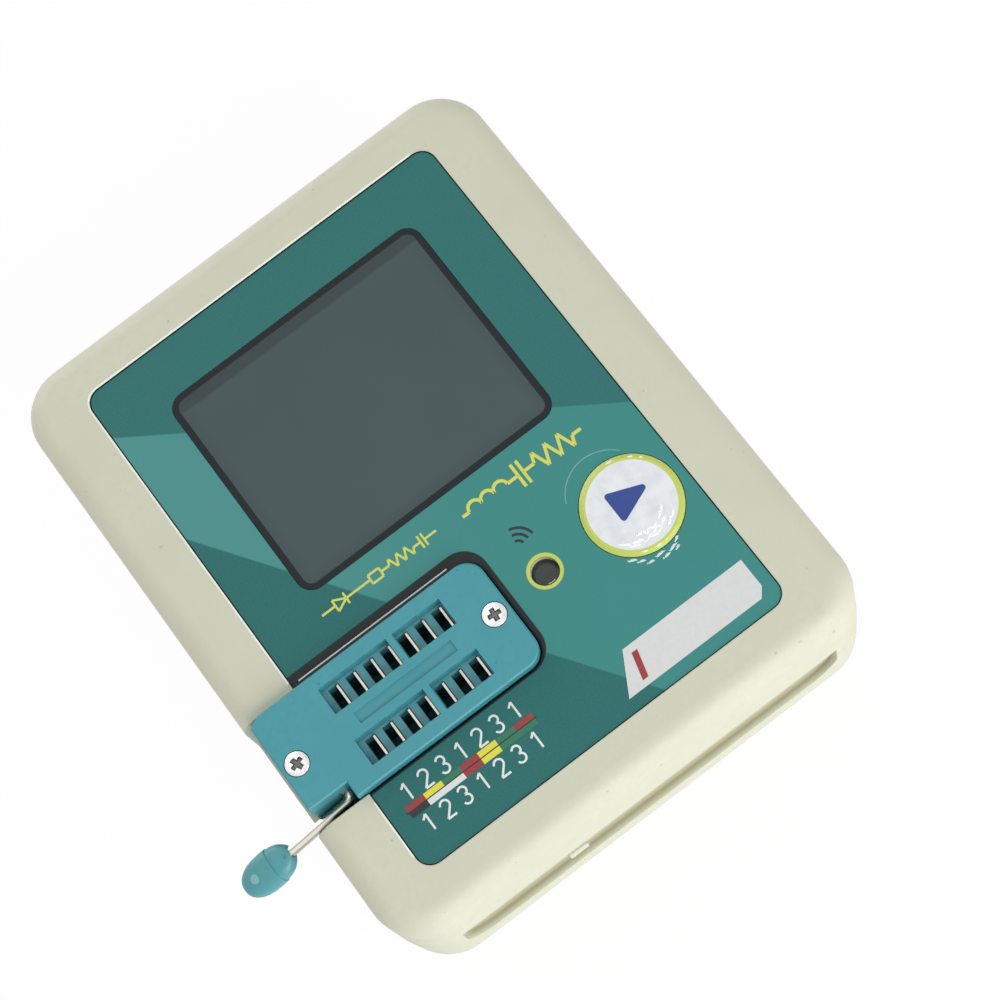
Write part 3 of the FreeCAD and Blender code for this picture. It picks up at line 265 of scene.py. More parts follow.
def socket_border(graph):
    """Where the black border round the socket is."""
    return graph.inside(graph.box_distance(SOCKET_BORDER_CENTRE, SOCKET_BORDER_SIZE, SOCKET_BORDER_RADIUS))


def shell_paint(graph, tint):
    """Painted shade in the gap round the film, painted black shade in the gap round the socket, and painted
    shade low in the front slot.
    """
    x, y, z = graph.axes()
    # Painted shade in the gap between the film's edge and its recess
    gap = graph.inside(graph.box_distance((0.0, 0.0), RECESS_SIZE, RECESS_RADIUS))
    for limit, above in ((RECESS_LOW, 1), (RECESS_HIGH, 0)):
        gap = graph.math("MULTIPLY", gap, graph.beyond(z, limit, RECESS_BLUR, above))
    tint = graph.mix(gap, tint, GAP_SHADE)

    # Painted black shade on the recess floor in the gap round the socket
    floor = graph.ramp(z, RECESS_TOP * MM, (RECESS_TOP + RECESS_BLUR) * MM, 1.0, 0.0)
    under_film = graph.ramp(x, (FILM_LEFT - RECESS_BLUR) * MM, FILM_LEFT * MM)
    edge = graph.math("MULTIPLY", socket_border(graph), under_film)
    tint = graph.mix(graph.math("MULTIPLY", edge, floor), tint, PRINT_BLACK)

    # Painted shade on the slot's ledge and low back wall, fading out upwards
    shade = graph.ramp(y, SLOT_MOUTH * MM, SLOT_BACK * MM)
    fade = graph.ramp(z, SLOT_FADE[0] * MM, SLOT_FADE[1] * MM, 1.0, 0.0)
    shade = graph.math("MULTIPLY", shade, fade)
    limits = (
        (y, SLOT_DEEPEST, 0),
        (graph.math("ABSOLUTE", x), SLOT_HALF, 0),
        (z, SLOT_LOW, 1),
    )
    for value, limit, above in limits:
        shade = graph.math("MULTIPLY", shade, graph.beyond(value, limit, SLOT_BLUR, above))
    return graph.mix(shade, tint, SLOT_SHADE)


# Dark specks in moulded plastic: their size, how rare, how strong and how dark they are
SPECK_MM = 0.9
SPECK_BAND = (0.76, 0.79)
SPECK_SHARE = 0.4
SPECK_SHADE = 0.72
SHINE_SWING = 0.06


def moulded(name, colour, deep, grain_mm, grain_depth, roughness, edge_mm, paint=None):
    """Moulded plastic: faint blotches, a few specks, a spark-eroded grain and softened edges."""
    graph = Graph(name)
    broad = graph.patches(size_mm=9.0, detail=4.0, band=(0.35, 0.7), span=(0.0, 0.35))
    fine = graph.patches(size_mm=0.7, detail=3.0, band=(0.35, 0.75), span=(0.0, 0.35))
    tint = graph.mix(graph.math("MAXIMUM", broad, fine), colour, deep)
    specks = graph.patches(size_mm=SPECK_MM, detail=1.0, band=SPECK_BAND, span=(0.0, SPECK_SHARE))
    tint = graph.mix(specks, tint, shaded(deep, SPECK_SHADE))
    if paint is not None:
        tint = paint(graph, tint)
    grain = graph.noise(grain_mm, detail=3.0)
    relief = graph.bump(grain, strength=0.35, depth_mm=grain_depth, base=graph.soft_edges(edge_mm))
    span = (roughness - SHINE_SWING, roughness + SHINE_SWING)
    shine = graph.patches(size_mm=2.5, detail=3.0, band=(0.3, 0.7), span=span)
    return graph.set(Base_Color=tint, Roughness=shine, Normal=relief)


# Stains on metal: how dark they are, and how far its roughness falls and rises
STAIN_SHADE = 0.72
METAL_FALL = 0.08
METAL_RISE = 0.1


def metal(name, colour, roughness, brush=(1, 1, 1)):
    """Plated metal with fine drawing marks and slight staining."""
    graph = Graph(name)
    stain = graph.patches(size_mm=1.2, detail=4.0, band=(0.4, 0.8), span=(0.0, 0.5))
    tint = graph.mix(stain, colour, shaded(colour, STAIN_SHADE))
    span = (roughness - METAL_FALL, roughness + METAL_RISE)
    shine = graph.patches(size_mm=0.25, detail=2.0, band=(0.2, 0.8), span=span, stretch=brush)
    marks = graph.noise(size_mm=0.12, detail=2.0, stretch=brush)
    relief = graph.bump(marks, strength=0.15, depth_mm=0.02, base=graph.soft_edges(radius_mm=0.06))
    return graph.set(Base_Color=tint, Metallic=1.0, Roughness=shine, Normal=relief)


# Stretch of the rod's painted dark reflections: they differ across the rod only
REFLECTION_STRETCH = (900, 1, 900)
ROD_BRUSH = (20, 1, 1)


def drawn_rod():
    """Bright drawn steel with painted dark reflections in stripes along the rod."""
    graph = Graph("drawn_rod")
    # Painted reflection: dark stripes along the rod
    lines = graph.patches(size_mm=0.3, detail=0.0, band=(0.5, 0.66), span=(0.0, 0.7), stretch=REFLECTION_STRETCH)
    tint = graph.mix(lines, ROD_BRIGHT, ROD_REFLECTION_DARK)
    shine = graph.patches(size_mm=0.3, detail=2.0, band=(0.3, 0.7), span=(0.2, 0.34), stretch=ROD_BRUSH)
    edges = graph.soft_edges(radius_mm=0.1)
    return graph.set(Base_Color=tint, Metallic=1.0, Roughness=shine, Normal=edges)


# Yellow ring round the receiver's hole
EYE_RING_RADIUS = 2.25


def film_print():
    """The printed film: teal facets, black border, yellow ring and a fine velvet grain."""
    graph = Graph("film_print")
    blots = graph.patches(size_mm=14.0, detail=3.0, band=(0.3, 0.7), span=(0.0, 0.25))
    teal = graph.mix(blots, TEAL, TEAL_BLOT)
    x, _, _ = graph.axes()
    pale = graph.ramp(x, PALE_SPAN[0] * MM, PALE_SPAN[1] * MM, PALE_SHARE, 0.0)
    teal = graph.mix(pale, teal, TEAL_PALE)
    above = graph.ramp(graph.line_side(*UPPER_FACET), -FACET_BLUR, FACET_BLUR)
    teal = graph.mix(above, teal, TEAL_DARK)
    below = graph.inside(graph.line_side(*LOWER_FACET), FACET_BLUR)
    teal = graph.mix(below, teal, TEAL_DEEP)
    grain = graph.noise(size_mm=0.22, detail=2.0)
    flecks = graph.ramp(grain, low=0.3, high=0.75, start=0.0, end=0.12)
    teal = graph.mix(flecks, teal, TEAL_GRAIN)
    teal = graph.mix(socket_border(graph), teal, PRINT_BLACK)
    ring = graph.inside(graph.disc_distance(EYE_CENTRE, EYE_RING_RADIUS))
    teal = graph.mix(ring, teal, RING_YELLOW)
    relief = graph.bump(grain, strength=0.25, depth_mm=0.015, base=graph.soft_edges(radius_mm=0.05))
    shine = graph.patches(size_mm=1.5, detail=3.0, band=(0.3, 0.7), span=(0.36, 0.46))
    return graph.set(Base_Color=teal, Roughness=shine, Normal=relief, Specular_IOR_Level=0.3)


# The clear middle of the window, and the painted shadow of the border on the panel, all round its edge and
# in a band along its upper side
CLEAR_SIZE = (36.0, 29.2)
CLEAR_RADIUS = 1.2
SHADOW_EDGE_DEPTH = 1.6
SHADOW_EDGE_SHARE = 0.3
SHADOW_BAND_START = 1.75
SHADOW_BAND_END = 1.35
SHADOW_BAND_SHARE = 0.9


def screen():
    """The display window: black printed border, grey panel behind it with a painted shadow of the border,
    and a glossy face.
    """
    graph = Graph("screen")
    clear = graph.box_distance(WINDOW_CENTRE, CLEAR_SIZE, CLEAR_RADIUS)
    # Painted shadow of the border: darker all round the clear middle's edge and in a band along its upper
    # side
    edge = graph.math("MULTIPLY", graph.ramp(clear, -SHADOW_EDGE_DEPTH, 0.0), SHADOW_EDGE_SHARE)
    _, y, _ = graph.axes()
    clear_top = WINDOW_CENTRE[1] + CLEAR_SIZE[1] / 2
    band = graph.ramp(y, (clear_top - SHADOW_BAND_START) * MM, (clear_top - SHADOW_BAND_END) * MM, 0.0, SHADOW_BAND_SHARE)
    blots = graph.patches(size_mm=16.0, detail=2.0, band=(0.3, 0.7), span=(0.0, 0.3))
    panel = graph.mix(blots, SCREEN_GREY, SCREEN_BLOT)
    panel = graph.mix(graph.math("MAXIMUM", edge, band), panel, SCREEN_SHADOW)
    tint = graph.mix(graph.inside(clear), PRINT_BLACK, panel)
    shine = graph.patches(size_mm=3.0, detail=4.0, band=(0.3, 0.7), span=(0.1, 0.2))
    waves = graph.noise(size_mm=6.0, detail=2.0)
    relief = graph.bump(waves, strength=0.05, depth_mm=0.02, base=graph.soft_edges(radius_mm=0.08))
    return graph.set(Base_Color=tint, Roughness=shine, Normal=relief, Specular_IOR_Level=0.22)


# White middle of the press area
PEARL_RADIUS = 5.55


def press_face():
    """The press area: pearly white disc inside a yellow ring."""
    graph = Graph("press_face")
    clouds = graph.patches(size_mm=1.8, detail=4.0, band=(0.35, 0.7), span=(0.0, 1.0))
    pearl = graph.mix(clouds, PEARL, PEARL_DEEP)
    tint = graph.mix(graph.inside(graph.disc_distance(BUTTON_CENTRE, PEARL_RADIUS)), RING_YELLOW, pearl)
    relief = graph.bump(graph.noise(size_mm=1.4, detail=3.0), strength=0.3, depth_mm=0.12)
    shine = graph.patches(size_mm=1.0, detail=2.0, band=(0.3, 0.7), span=(0.24, 0.36))
    return graph.set(Base_Color=tint, Roughness=shine, Normal=relief)


# Uneven cover of ink and of clear plastic: how dark it gets, and how far the plastic's roughness swings
INK_SHADE = 0.93
GLOSS_SHADE = 0.92
GLOSS_SWING = 0.05


def ink(name, colour):
    """Screen-printed ink with a faint uneven cover."""
    graph = Graph(name)
    cover = graph.patches(size_mm=0.5, detail=3.0, band=(0.4, 0.75), span=(0.0, 0.3))
    tint = graph.mix(cover, colour, shaded(colour, INK_SHADE))
    shine = graph.patches(size_mm=1.0, detail=2.0, band=(0.3, 0.7), span=(0.36, 0.46))
    return graph.set(Base_Color=tint, Roughness=shine)


def gloss(name, colour, roughness=0.2):
    """Clear or smoked plastic with a wet shine and a faint unevenness."""
    graph = Graph(name)
    cover = graph.patches(size_mm=0.9, detail=3.0, band=(0.35, 0.75), span=(0.0, 0.5))
    tint = graph.mix(cover, colour, shaded(colour, GLOSS_SHADE))
    span = (roughness - GLOSS_SWING, roughness + GLOSS_SWING)
    shine = graph.patches(size_mm=0.6, detail=2.0, band=(0.3, 0.7), span=span)
    return graph.set(Base_Color=tint, Roughness=shine)


# Moulded: two colours, grain size and depth, roughness, edge radius. Metal: colour, roughness, stretch
FINISHES = {
    "cream": moulded("cream_plastic", CREAM, CREAM_DEEP, 0.35, 0.03, 0.52, 0.25, paint=shell_paint),
    "film": film_print(),
    "screen": screen(),
    "socket": moulded("socket_plastic", SOCKET_TEAL, SOCKET_TEAL_DEEP, 0.3, 0.02, 0.42, 0.1),
    "knob": moulded("knob_plastic", KNOB_TEAL, KNOB_TEAL_DEEP, 0.3, 0.02, 0.4, 0.2),
    "comb": moulded("comb_plastic", (104, 172, 182), (86, 152, 162), 0.3, 0.02, 0.5, 0.08),
    "rod": drawn_rod(),
    "steel": metal("bright_steel", (246, 244, 238), 0.22, (6, 1, 1)),
    "leaf": metal("contact_leaf", (206, 200, 190), 0.22, (1, 1, 6)),
    "screw": metal("screw_plate", (246, 246, 245), 0.3),
    "press": press_face(),
    "eye": moulded("eye_lens", (38, 36, 42), (24, 22, 28), 0.4, 0.01, 0.18, 0.1),
    "board": moulded("board_laminate", (28, 92, 56), (18, 72, 44), 0.6, 0.02, 0.45, 0.05),
    "black": moulded("black_plastic", (32, 33, 35), (24, 25, 27), 0.3, 0.02, 0.5, 0.06),
    "white": moulded("white_plastic", (226, 226, 220), (214, 214, 208), 0.4, 0.02, 0.5, 0.1),
    "pouch": metal("cell_pouch", (176, 180, 184), 0.36),
    "tape": moulded("foam_tape", (222, 218, 204), (204, 200, 186), 0.5, 0.08, 0.85, 0.05),
    "copper": moulded("flex_ribbon", (176, 116, 44), (150, 92, 34), 0.4, 0.01, 0.4, 0.05),
    "lamp": moulded("lamp_lens", (196, 60, 52), (176, 48, 42), 0.5, 0.01, 0.25, 0.08),
    "lead": moulded("lead_sheath", (168, 36, 34), (144, 28, 28), 0.4, 0.02, 0.5, 0.05),
}

# The finish of each solid
NODE_FINISH = {
    "upper_shell": "cream",
    "lower_shell": "cream",
    "front_overlay": "film",
    "display_window": "screen",
    "zif_base": "socket",
    "zif_cover": "socket",
    "zif_slider": "comb",
    "zif_contacts": "leaf",
    "zif_screws": "screw",
    "zif_lever": "rod",
    "zif_lever_knob": "knob",
    "start_button": "press",
    "ir_receiver": "eye",
    "lcd_panel": "black",
    "lcd_backlight": "white",
    "lcd_carrier": "white",
    "lcd_flex": "copper",
    "main_board": "board",
    "board_screws": "screw",
    "switch_body": "black",
    "switch_plunger": "white",
    "usb_socket": "steel",
    "charge_led": "lamp",
    "battery_cell": "pouch",
    "battery_tape": "tape",
    "battery_leads": "lead",
    "battery_connector": "white",
    "microcontroller": "black",
    "crystal": "steel",
    "board_chips": "black",
}


def dress_nodes():
    """Give every solid its finish."""
    for name, node in NODES.items():
        node.data.materials.clear()
        node.data.materials.append(FINISHES[NODE_FINISH[name]])


# Camera at the photograph's place: metres, degrees and millimetres
CAMERA_PLACE = (-0.006998, -0.097342, 0.327278)
CAMERA_TURN = (15.04678, 8.13217, -36.29966)
CAMERA_LENS = 94.543
SENSOR_WIDTH = 36.0


def make_camera():
    """The camera that sees the part as the photograph does."""
    data = bpy.data.cameras.new("photo_camera")
    data.lens = CAMERA_LENS
    data.sensor_width = SENSOR_WIDTH
    camera = bpy.data.objects.new("photo_camera", data)
    camera.location = CAMERA_PLACE
    camera.rotation_euler = Euler([math.radians(turn) for turn in CAMERA_TURN], "XYZ")
    bpy.context.scene.collection.objects.link(camera)
    bpy.context.scene.camera = camera


# Light of the world, as it falls on the part and as shiny faces mirror it
WORLD_LIGHT = 0.475
WORLD_SHINE = 0.9

# Softboxes: name, place and size in metres, and power in watts
LAMPS = (
    ("front_box", (0.12, -0.55, 0.34), 0.5, 3.45),
    ("top_box", (-0.1, 0.15, 0.75), 0.6, 0.45),
    ("rear_fill", (-0.12, 0.64, 0.2), 0.5, 2.2),
)
LAMP_TARGET = (0, 0, 0.02)


def soft_lamp(name, place, size, watts):
    """A square softbox that faces the part."""
    data = bpy.data.lights.new(name, "AREA")
    data.size = size
    data.energy = watts
    lamp = bpy.data.objects.new(name, data)
    lamp.location = place
    lamp.rotation_euler = (Vector(LAMP_TARGET) - Vector(place)).to_track_quat("-Z", "Y").to_euler()
    bpy.context.scene.collection.objects.link(lamp)


def make_light():
    """Soft even light from all round, with softboxes in front, above and behind."""
    world = bpy.data.worlds.new("studio")
    world.use_nodes = True
    background = world.node_tree.nodes["Background"]
    background.inputs["Color"].default_value = (1, 1, 1, 1)
    path = world.node_tree.nodes.new("ShaderNodeLightPath")
    strength = world.node_tree.nodes.new("ShaderNodeMapRange")
    strength.inputs["To Min"].default_value = WORLD_LIGHT
    strength.inputs["To Max"].default_value = WORLD_SHINE
    world.node_tree.links.new(path.outputs["Is Glossy Ray"], strength.inputs["Value"])
    world.node_tree.links.new(strength.outputs[0], background.inputs["Strength"])
    bpy.context.scene.world = world
    for lamp in LAMPS:
        soft_lamp(*lamp)


# The floor: half its width and its depth under the part in metres, and its whiteness to the camera
FLOOR_HALF = 3.0
FLOOR_DROP = 0.0002
FLOOR_WHITE = 0.94


def make_floor():
    """A wide white sheet that keeps the part's soft shadow."""
    mesh = bpy.data.meshes.new("floor")
    near, far = -FLOOR_HALF, FLOOR_HALF
    mesh.from_pydata([(near, near, 0), (far, near, 0), (far, far, 0), (near, far, 0)], [], [(0, 1, 2, 3)])
    floor = bpy.data.objects.new("floor", mesh)
    floor.location.z = -FLOOR_DROP
    bpy.context.scene.collection.objects.link(floor)
    graph = Graph("floor_white")
    blots = graph.patches(size_mm=200.0, detail=2.0, band=(0.3, 0.7), span=(0.0, 0.3))
    graph.set(Base_Color=graph.mix(blots, (252, 252, 252), (246, 246, 246)), Roughness=0.9)
    glow = graph.node("ShaderNodeEmission")
    glow.inputs["Color"].default_value = (1, 1, 1, 1)
    path = graph.node("ShaderNodeLightPath")
    blend = graph.node("ShaderNodeMixShader")
    seen = graph.math("MAXIMUM", path.outputs["Is Camera Ray"], path.outputs["Is Glossy Ray"])
    graph.link(graph.math("MULTIPLY", seen, FLOOR_WHITE), blend.inputs[0])
    graph.link(graph.shader.outputs[0], blend.inputs[1])
    graph.link(glow.outputs[0], blend.inputs[2])
    graph.link(blend.outputs[0], graph.tree.nodes["Material Output"].inputs["Surface"])
    mesh.materials.append(graph.material)


def add_piece(name, mesh, body, slot, *finishes):
    """Put a new mesh in the scene, on a body, with its finishes."""
    piece = bpy.data.objects.new(name, mesh)
    bpy.context.scene.collection.objects.link(piece)
    for finish in finishes:
        mesh.materials.append(finish)
    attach(piece, body)
    return piece


def slab(graph, outline, low, high, material=0):
    """A thin closed plate with a given outline, in millimetres."""
    bottom = [graph.verts.new((x * MM, y * MM, low * MM)) for x, y in outline]
    top = [graph.verts.new((x * MM, y * MM, high * MM)) for x, y in outline]
    faces = [graph.faces.new(list(reversed(bottom))), graph.faces.new(top)]
    for i in range(len(outline)):
        j = (i + 1) % len(outline)
        faces.append(graph.faces.new((bottom[i], bottom[j], top[j], top[i])))
    for face in faces:
        face.material_index = material


def join_rings(graph, rings):
    """Faces between rings of points, and over the first and the last ring."""
    faces = [graph.faces.new(rings[0]), graph.faces.new(list(reversed(rings[-1])))]
    for ring, following in zip(rings, rings[1:]):
        for i in range(len(ring)):
            j = (i + 1) % len(ring)
            faces.append(graph.faces.new((ring[i], ring[j], following[j], following[i])))
    return faces


def finished(graph, name, sharp=None):
    """The mesh of a bmesh, shaded smooth up to a sharp angle in degrees where one is given."""
    bmesh.ops.recalc_face_normals(graph, faces=graph.faces)
    mesh = bpy.data.meshes.new(name)
    graph.to_mesh(mesh)
    graph.free()
    if sharp is not None:
        for face in mesh.polygons:
            face.use_smooth = True
        mesh.set_sharp_from_angle(angle=math.radians(sharp))
    return mesh


def from_curve(name, data):
    """The mesh of a curve, which is then removed."""
    maker = bpy.data.objects.new(name + "_maker", data)
    bpy.context.scene.collection.objects.link(maker)
    bpy.context.view_layer.update()
    mesh = bpy.data.meshes.new_from_object(maker.evaluated_get(bpy.context.evaluated_depsgraph_get()))
    bpy.data.objects.remove(maker)
    return mesh


def arc(centre, radius, start, end, steps=14):
    """Points along an arc, with angles in degrees."""
    points = []
    for i in range(steps + 1):
        turn = math.radians(start + (end - start) * i / steps)
        points.append((centre[0] + radius * math.cos(turn), centre[1] + radius * math.sin(turn)))
    return points


# Turn, in degrees, past which a corner of a drawn line is sharp
SHARP_CORNER = 35


def straight_parts(line):
    """A drawn line cut at its sharp corners, so that every part keeps its width."""
    parts = [[line[0]]]
    for before, here, after in zip(line, line[1:], line[2:]):
        parts[-1].append(here)
        first = Vector(here) - Vector(before)
        second = Vector(after) - Vector(here)
        if first.angle(second) > math.radians(SHARP_CORNER):
            parts.append([here])
    parts[-1].append(line[-1])
    return parts


def strokes(name, lines, width, height, base, body, slot, finish, tip=1.0):
    """Drawn lines of ink or clear film: rounded, flattened ridges that lie on a face.

    The ends are tip times as wide as the middle."""
    data = bpy.data.curves.new(name, "CURVE")
    data.dimensions = "3D"
    data.bevel_depth = width / 2 * MM
    data.bevel_resolution = 3
    data.use_fill_caps = True
    for line in lines:
        for part in straight_parts(line):
            spline = data.splines.new("POLY")
            spline.points.add(len(part) - 1)
            for i, (x, y) in enumerate(part):
                spline.points[i].co = (x * MM, y * MM, 0, 1)
                swell = math.sin(math.pi * i / (len(part) - 1))
                spline.points[i].radius = tip + (1 - tip) * swell
    mesh = from_curve(name, data)
    flat = Matrix.Diagonal((1, 1, 2 * height / width, 1))
    mesh.transform(Matrix.Translation((0, 0, base * MM)) @ flat)
    for face in mesh.polygons:
        face.use_smooth = True
    return add_piece(name, mesh, body, slot, finish)


# How far printed ink stands proud of the film
INK = 0.03


def film_strokes(name, lines, width, finish, height=INK, tip=1.0):
    """Drawn lines that lie on the front film."""
    return strokes(name, lines, width, height, FILM_TOP, "case", "printed_film", finish, tip)


# Legend of plain numbers with colour blocks
LEGEND_X = -22.75
LEGEND_PITCH = 2.62
LEGEND_COUNT = 7
LEGEND_ROWS = ((-27.65, "1231231"), (-32.15, "1231231"))
LEGEND_LINE = -29.86
LINE_HEIGHT = 0.14
LINE_OVERHANG = 0.6
LINE_RISE = 1.2
BLOCK_HEIGHT = 0.74
DIGIT_SIZE = 2.2
DIGIT_WIDTH = 0.28
UPPER_BLOCKS = "RYGRYGR"
LOWER_BLOCKS = "KWWRYGG"
BLOCK_INKS = {
    "R": ("ink_red", PRINT_RED),
    "Y": ("ink_yellow", (222, 214, 66)),
    "G": ("ink_green", PRINT_GREEN),
    "K": ("ink_black", PRINT_BLACK),
    "W": ("ink_white", (220, 222, 218)),
}

# Plain digits as drawn lines, one unit high
DIGIT_LINES = {
    "1": [[(-0.2, 0.76), (0.06, 1.0), (0.06, 0.0)]],
    "2": [arc((0.0, 0.73), 0.27, 170, -40) + [(-0.27, 0.0), (0.29, 0.0)]],
    "3": [arc((-0.02, 0.76), 0.24, 160, -90), arc((-0.02, 0.26), 0.26, 90, -160)],
}


def rectangle(left, right, low, high):
    """The corners of an upright rectangle."""
    return [(left, low), (right, low), (right, high), (left, high)]


def make_legend():
    """Two rows of numbers, and between them two rows of colour blocks on a thin black line."""
    graph = bmesh.new()
    order = list(BLOCK_INKS)
    half_line = LINE_HEIGHT / 2
    rows = ((UPPER_BLOCKS, LEGEND_LINE + half_line), (LOWER_BLOCKS, LEGEND_LINE - half_line - BLOCK_HEIGHT))
    for blocks, low in rows:
        for i, code in enumerate(blocks):
            left = LEGEND_X + (i - 0.5) * LEGEND_PITCH
            block = rectangle(left, left + LEGEND_PITCH, low, low + BLOCK_HEIGHT)
            slab(graph, block, FILM_TOP - INK, FILM_TOP + INK, order.index(code))
    left = LEGEND_X - LINE_OVERHANG * LEGEND_PITCH
    right = LEGEND_X + (LEGEND_COUNT - 1 + LINE_OVERHANG) * LEGEND_PITCH
    line = rectangle(left, right, LEGEND_LINE - half_line, LEGEND_LINE + half_line)
    slab(graph, line, FILM_TOP - INK, FILM_TOP + LINE_RISE * INK, order.index("K"))
    inks = [ink(*BLOCK_INKS[code]) for code in order]
    add_piece("legend_blocks", finished(graph, "legend_blocks"), "case", "printed_film", *inks)

    lines = []
    for y, digits in LEGEND_ROWS:
        for i, digit in enumerate(digits):
            x = LEGEND_X + i * LEGEND_PITCH
            for drawn in DIGIT_LINES[digit]:
                lines.append([(x + DIGIT_SIZE * px, y + DIGIT_SIZE * (py - 0.5)) for px, py in drawn])
    film_strokes("legend_numbers", lines, DIGIT_WIDTH, ink("ink_pale", PRINT_WHITE))


# Large row of circuit signs: where each sign starts along it, and the signs' sizes
SIGN_Y = -5.0
SIGN_WIDTH = 0.44
SIGN_START = 1.9
COIL_X = 2.9
COIL_RADIUS = 0.95
COIL_TURNS = 3
PLATES_X = 10.2
PLATES_GAP = 0.8
PLATES_HALF = 1.7
ZIGZAG_X = 12.6
ZIGZAG_STEP = 0.95
ZIGZAG_RISE = 1.3
ZIGZAG_COUNT = 6
SIGN_END = 19.6

# Small row of circuit signs, in the same way
SMALL_Y = -4.3
SMALL_WIDTH = 0.3
SMALL_START = -18.6
DIODE_X = -16.6
DIODE_END = -15.0
DIODE_HALF = 0.8
FUSE_X = -11.4
FUSE_END = -9.8
FUSE_HALF = 0.6
SMALL_ZIGZAG_X = -8.6
SMALL_ZIGZAG_STEP = 0.6
SMALL_ZIGZAG_RISE = 0.75
SMALL_PLATES_X = -3.9
SMALL_PLATES_GAP = 0.55
SMALL_PLATES_HALF = 0.9
SMALL_END = -1.6

# Three arcs beside the receiver's hole
WAVES_CENTRE = (4.9, -12.2)
WAVES_RADII = (0.9, 1.7, 2.5)
WAVES_SPAN = (10, 80)
WAVES_WIDTH = 0.34


def zigzag(x, y, step, rise):
    """A resistor's zigzag."""
    points = [(x, y)]
    for i in range(ZIGZAG_COUNT):
        points.append((x + (i + 0.5) * step, y + (rise if i % 2 == 0 else -rise)))
    points.append((x + ZIGZAG_COUNT * step, y))
    return points


def upright(x, y, half):
    """An upright line."""
    return [(x, y - half), (x, y + half)]


def make_signs():
    """Plain circuit signs in yellow ink, a large and a small row, and three arcs by the receiver."""
    y = SIGN_Y
    coil_end = COIL_X + 2 * COIL_RADIUS * COIL_TURNS
    plates_end = PLATES_X + PLATES_GAP
    large = [
        [(SIGN_START, y), (COIL_X, y)],
        [(coil_end, y), (PLATES_X, y)],
        upright(PLATES_X, y, PLATES_HALF),
        upright(plates_end, y, PLATES_HALF),
        [(plates_end, y)] + zigzag(ZIGZAG_X, y, ZIGZAG_STEP, ZIGZAG_RISE) + [(SIGN_END, y)],
    ]
    for i in range(COIL_TURNS):
        large.append(arc((COIL_X + (2 * i + 1) * COIL_RADIUS, y), COIL_RADIUS, 180, 0, steps=16))
    film_strokes("panel_signs", large, SIGN_WIDTH, ink("ink_sign", PRINT_YELLOW))

    y = SMALL_Y
    plates_end = SMALL_PLATES_X + SMALL_PLATES_GAP
    fuse = rectangle(FUSE_X, FUSE_END, y - FUSE_HALF, y + FUSE_HALF)
    small = [
        [(SMALL_START, y), (DIODE_X, y)],
        upright(DIODE_X, y, DIODE_HALF) + [(DIODE_END, y), (DIODE_X, y - DIODE_HALF)],
        upright(DIODE_END, y, DIODE_HALF),
        [(DIODE_END, y), (FUSE_X, y)],
        fuse + fuse[:1],
        [(FUSE_END, y), (SMALL_ZIGZAG_X, y)],
        zigzag(SMALL_ZIGZAG_X, y, SMALL_ZIGZAG_STEP, SMALL_ZIGZAG_RISE),
        [(SMALL_ZIGZAG_X + ZIGZAG_COUNT * SMALL_ZIGZAG_STEP, y), (SMALL_PLATES_X, y)],
        upright(SMALL_PLATES_X, y, SMALL_PLATES_HALF),
        upright(plates_end, y, SMALL_PLATES_HALF),
        [(plates_end, y), (SMALL_END, y)],
    ]
    film_strokes("panel_signs_small", small, SMALL_WIDTH, ink("ink_sign_small", PRINT_YELLOW))

    waves = [arc(WAVES_CENTRE, radius, *WAVES_SPAN, steps=8) for radius in WAVES_RADII]
    film_strokes("eye_sign", waves, WAVES_WIDTH, ink("ink_eye_sign", PRINT_BLACK))


# Blank plate and its bar, as outlines on the film
PLATE = ((4.4, -34.9), (23.8, -34.9), (24.75, -33.7), (24.75, -29.7), (7.3, -29.7))
PLATE_BAR = ((7.0, -34.1), (7.8, -34.1), (8.7, -30.7), (7.9, -30.7))
PLATE_PALE = (212, 214, 213)


def make_plate():
    """Blank pale plate printed near the front edge, with a plain red bar."""
    graph = bmesh.new()
    slab(graph, PLATE, FILM_TOP - INK, FILM_TOP + INK)
    slab(graph, PLATE_BAR, FILM_TOP - INK, FILM_TOP + 2 * INK, 1)
    inks = (ink("ink_plate", PLATE_PALE), ink("ink_plate_bar", PRINT_RED))
    add_piece("blank_plate", finished(graph, "blank_plate"), "case", "printed_film", *inks)


def rounded(corners, radius, steps=6):
    """A convex outline, named counterclockwise, with round corners."""
    points = []
    for i, corner in enumerate(corners):
        tip = Vector(corner)
        back = (Vector(corners[i - 1]) - tip).normalized()
        ahead = (Vector(corners[(i + 1) % len(corners)]) - tip).normalized()
        half = back.angle(ahead) / 2
        centre = tip + (back + ahead).normalized() * radius / math.sin(half)
        start = math.degrees(math.atan2(-back.x, back.y))
        points += arc(centre, radius, start + 180, start + 360 - math.degrees(2 * half), steps)
    return points


# A wrinkle's second, smaller swing: its share of the first, its rate and its lead
SWING_SHARE = 0.45
SWING_RATE = 1.7
SWING_LEAD = 1.0
WAVE_STEPS = 12
WAVE_START = 0.15


def wavy(centre, radius, start, end, waves, depth):
    """A wrinkle: points along an arc that swings in and out unevenly."""
    points = []
    count = WAVE_STEPS * waves
    for i in range(count + 1):
        share = i / count
        phase = 2 * math.pi * waves * share
        swing = math.sin(phase) + SWING_SHARE * math.sin(SWING_RATE * phase + SWING_LEAD)
        turn = math.radians(start + (end - start) * share)
        reach = radius + depth * swing * math.sin(math.pi * min(1.0, WAVE_START + share))
        points.append((centre[0] + reach * math.cos(turn), centre[1] + reach * math.sin(turn)))
    return points


# Start sign: corners and centre, from the middle of the press area
START_SIGN = ((-2.0, -2.2), (3.4, 0.0), (-2.0, 2.2))
START_OFFSET = (-0.1, 0.9)
START_RADIUS = 0.4
START_SINK = 0.1
START_RISE = 0.02

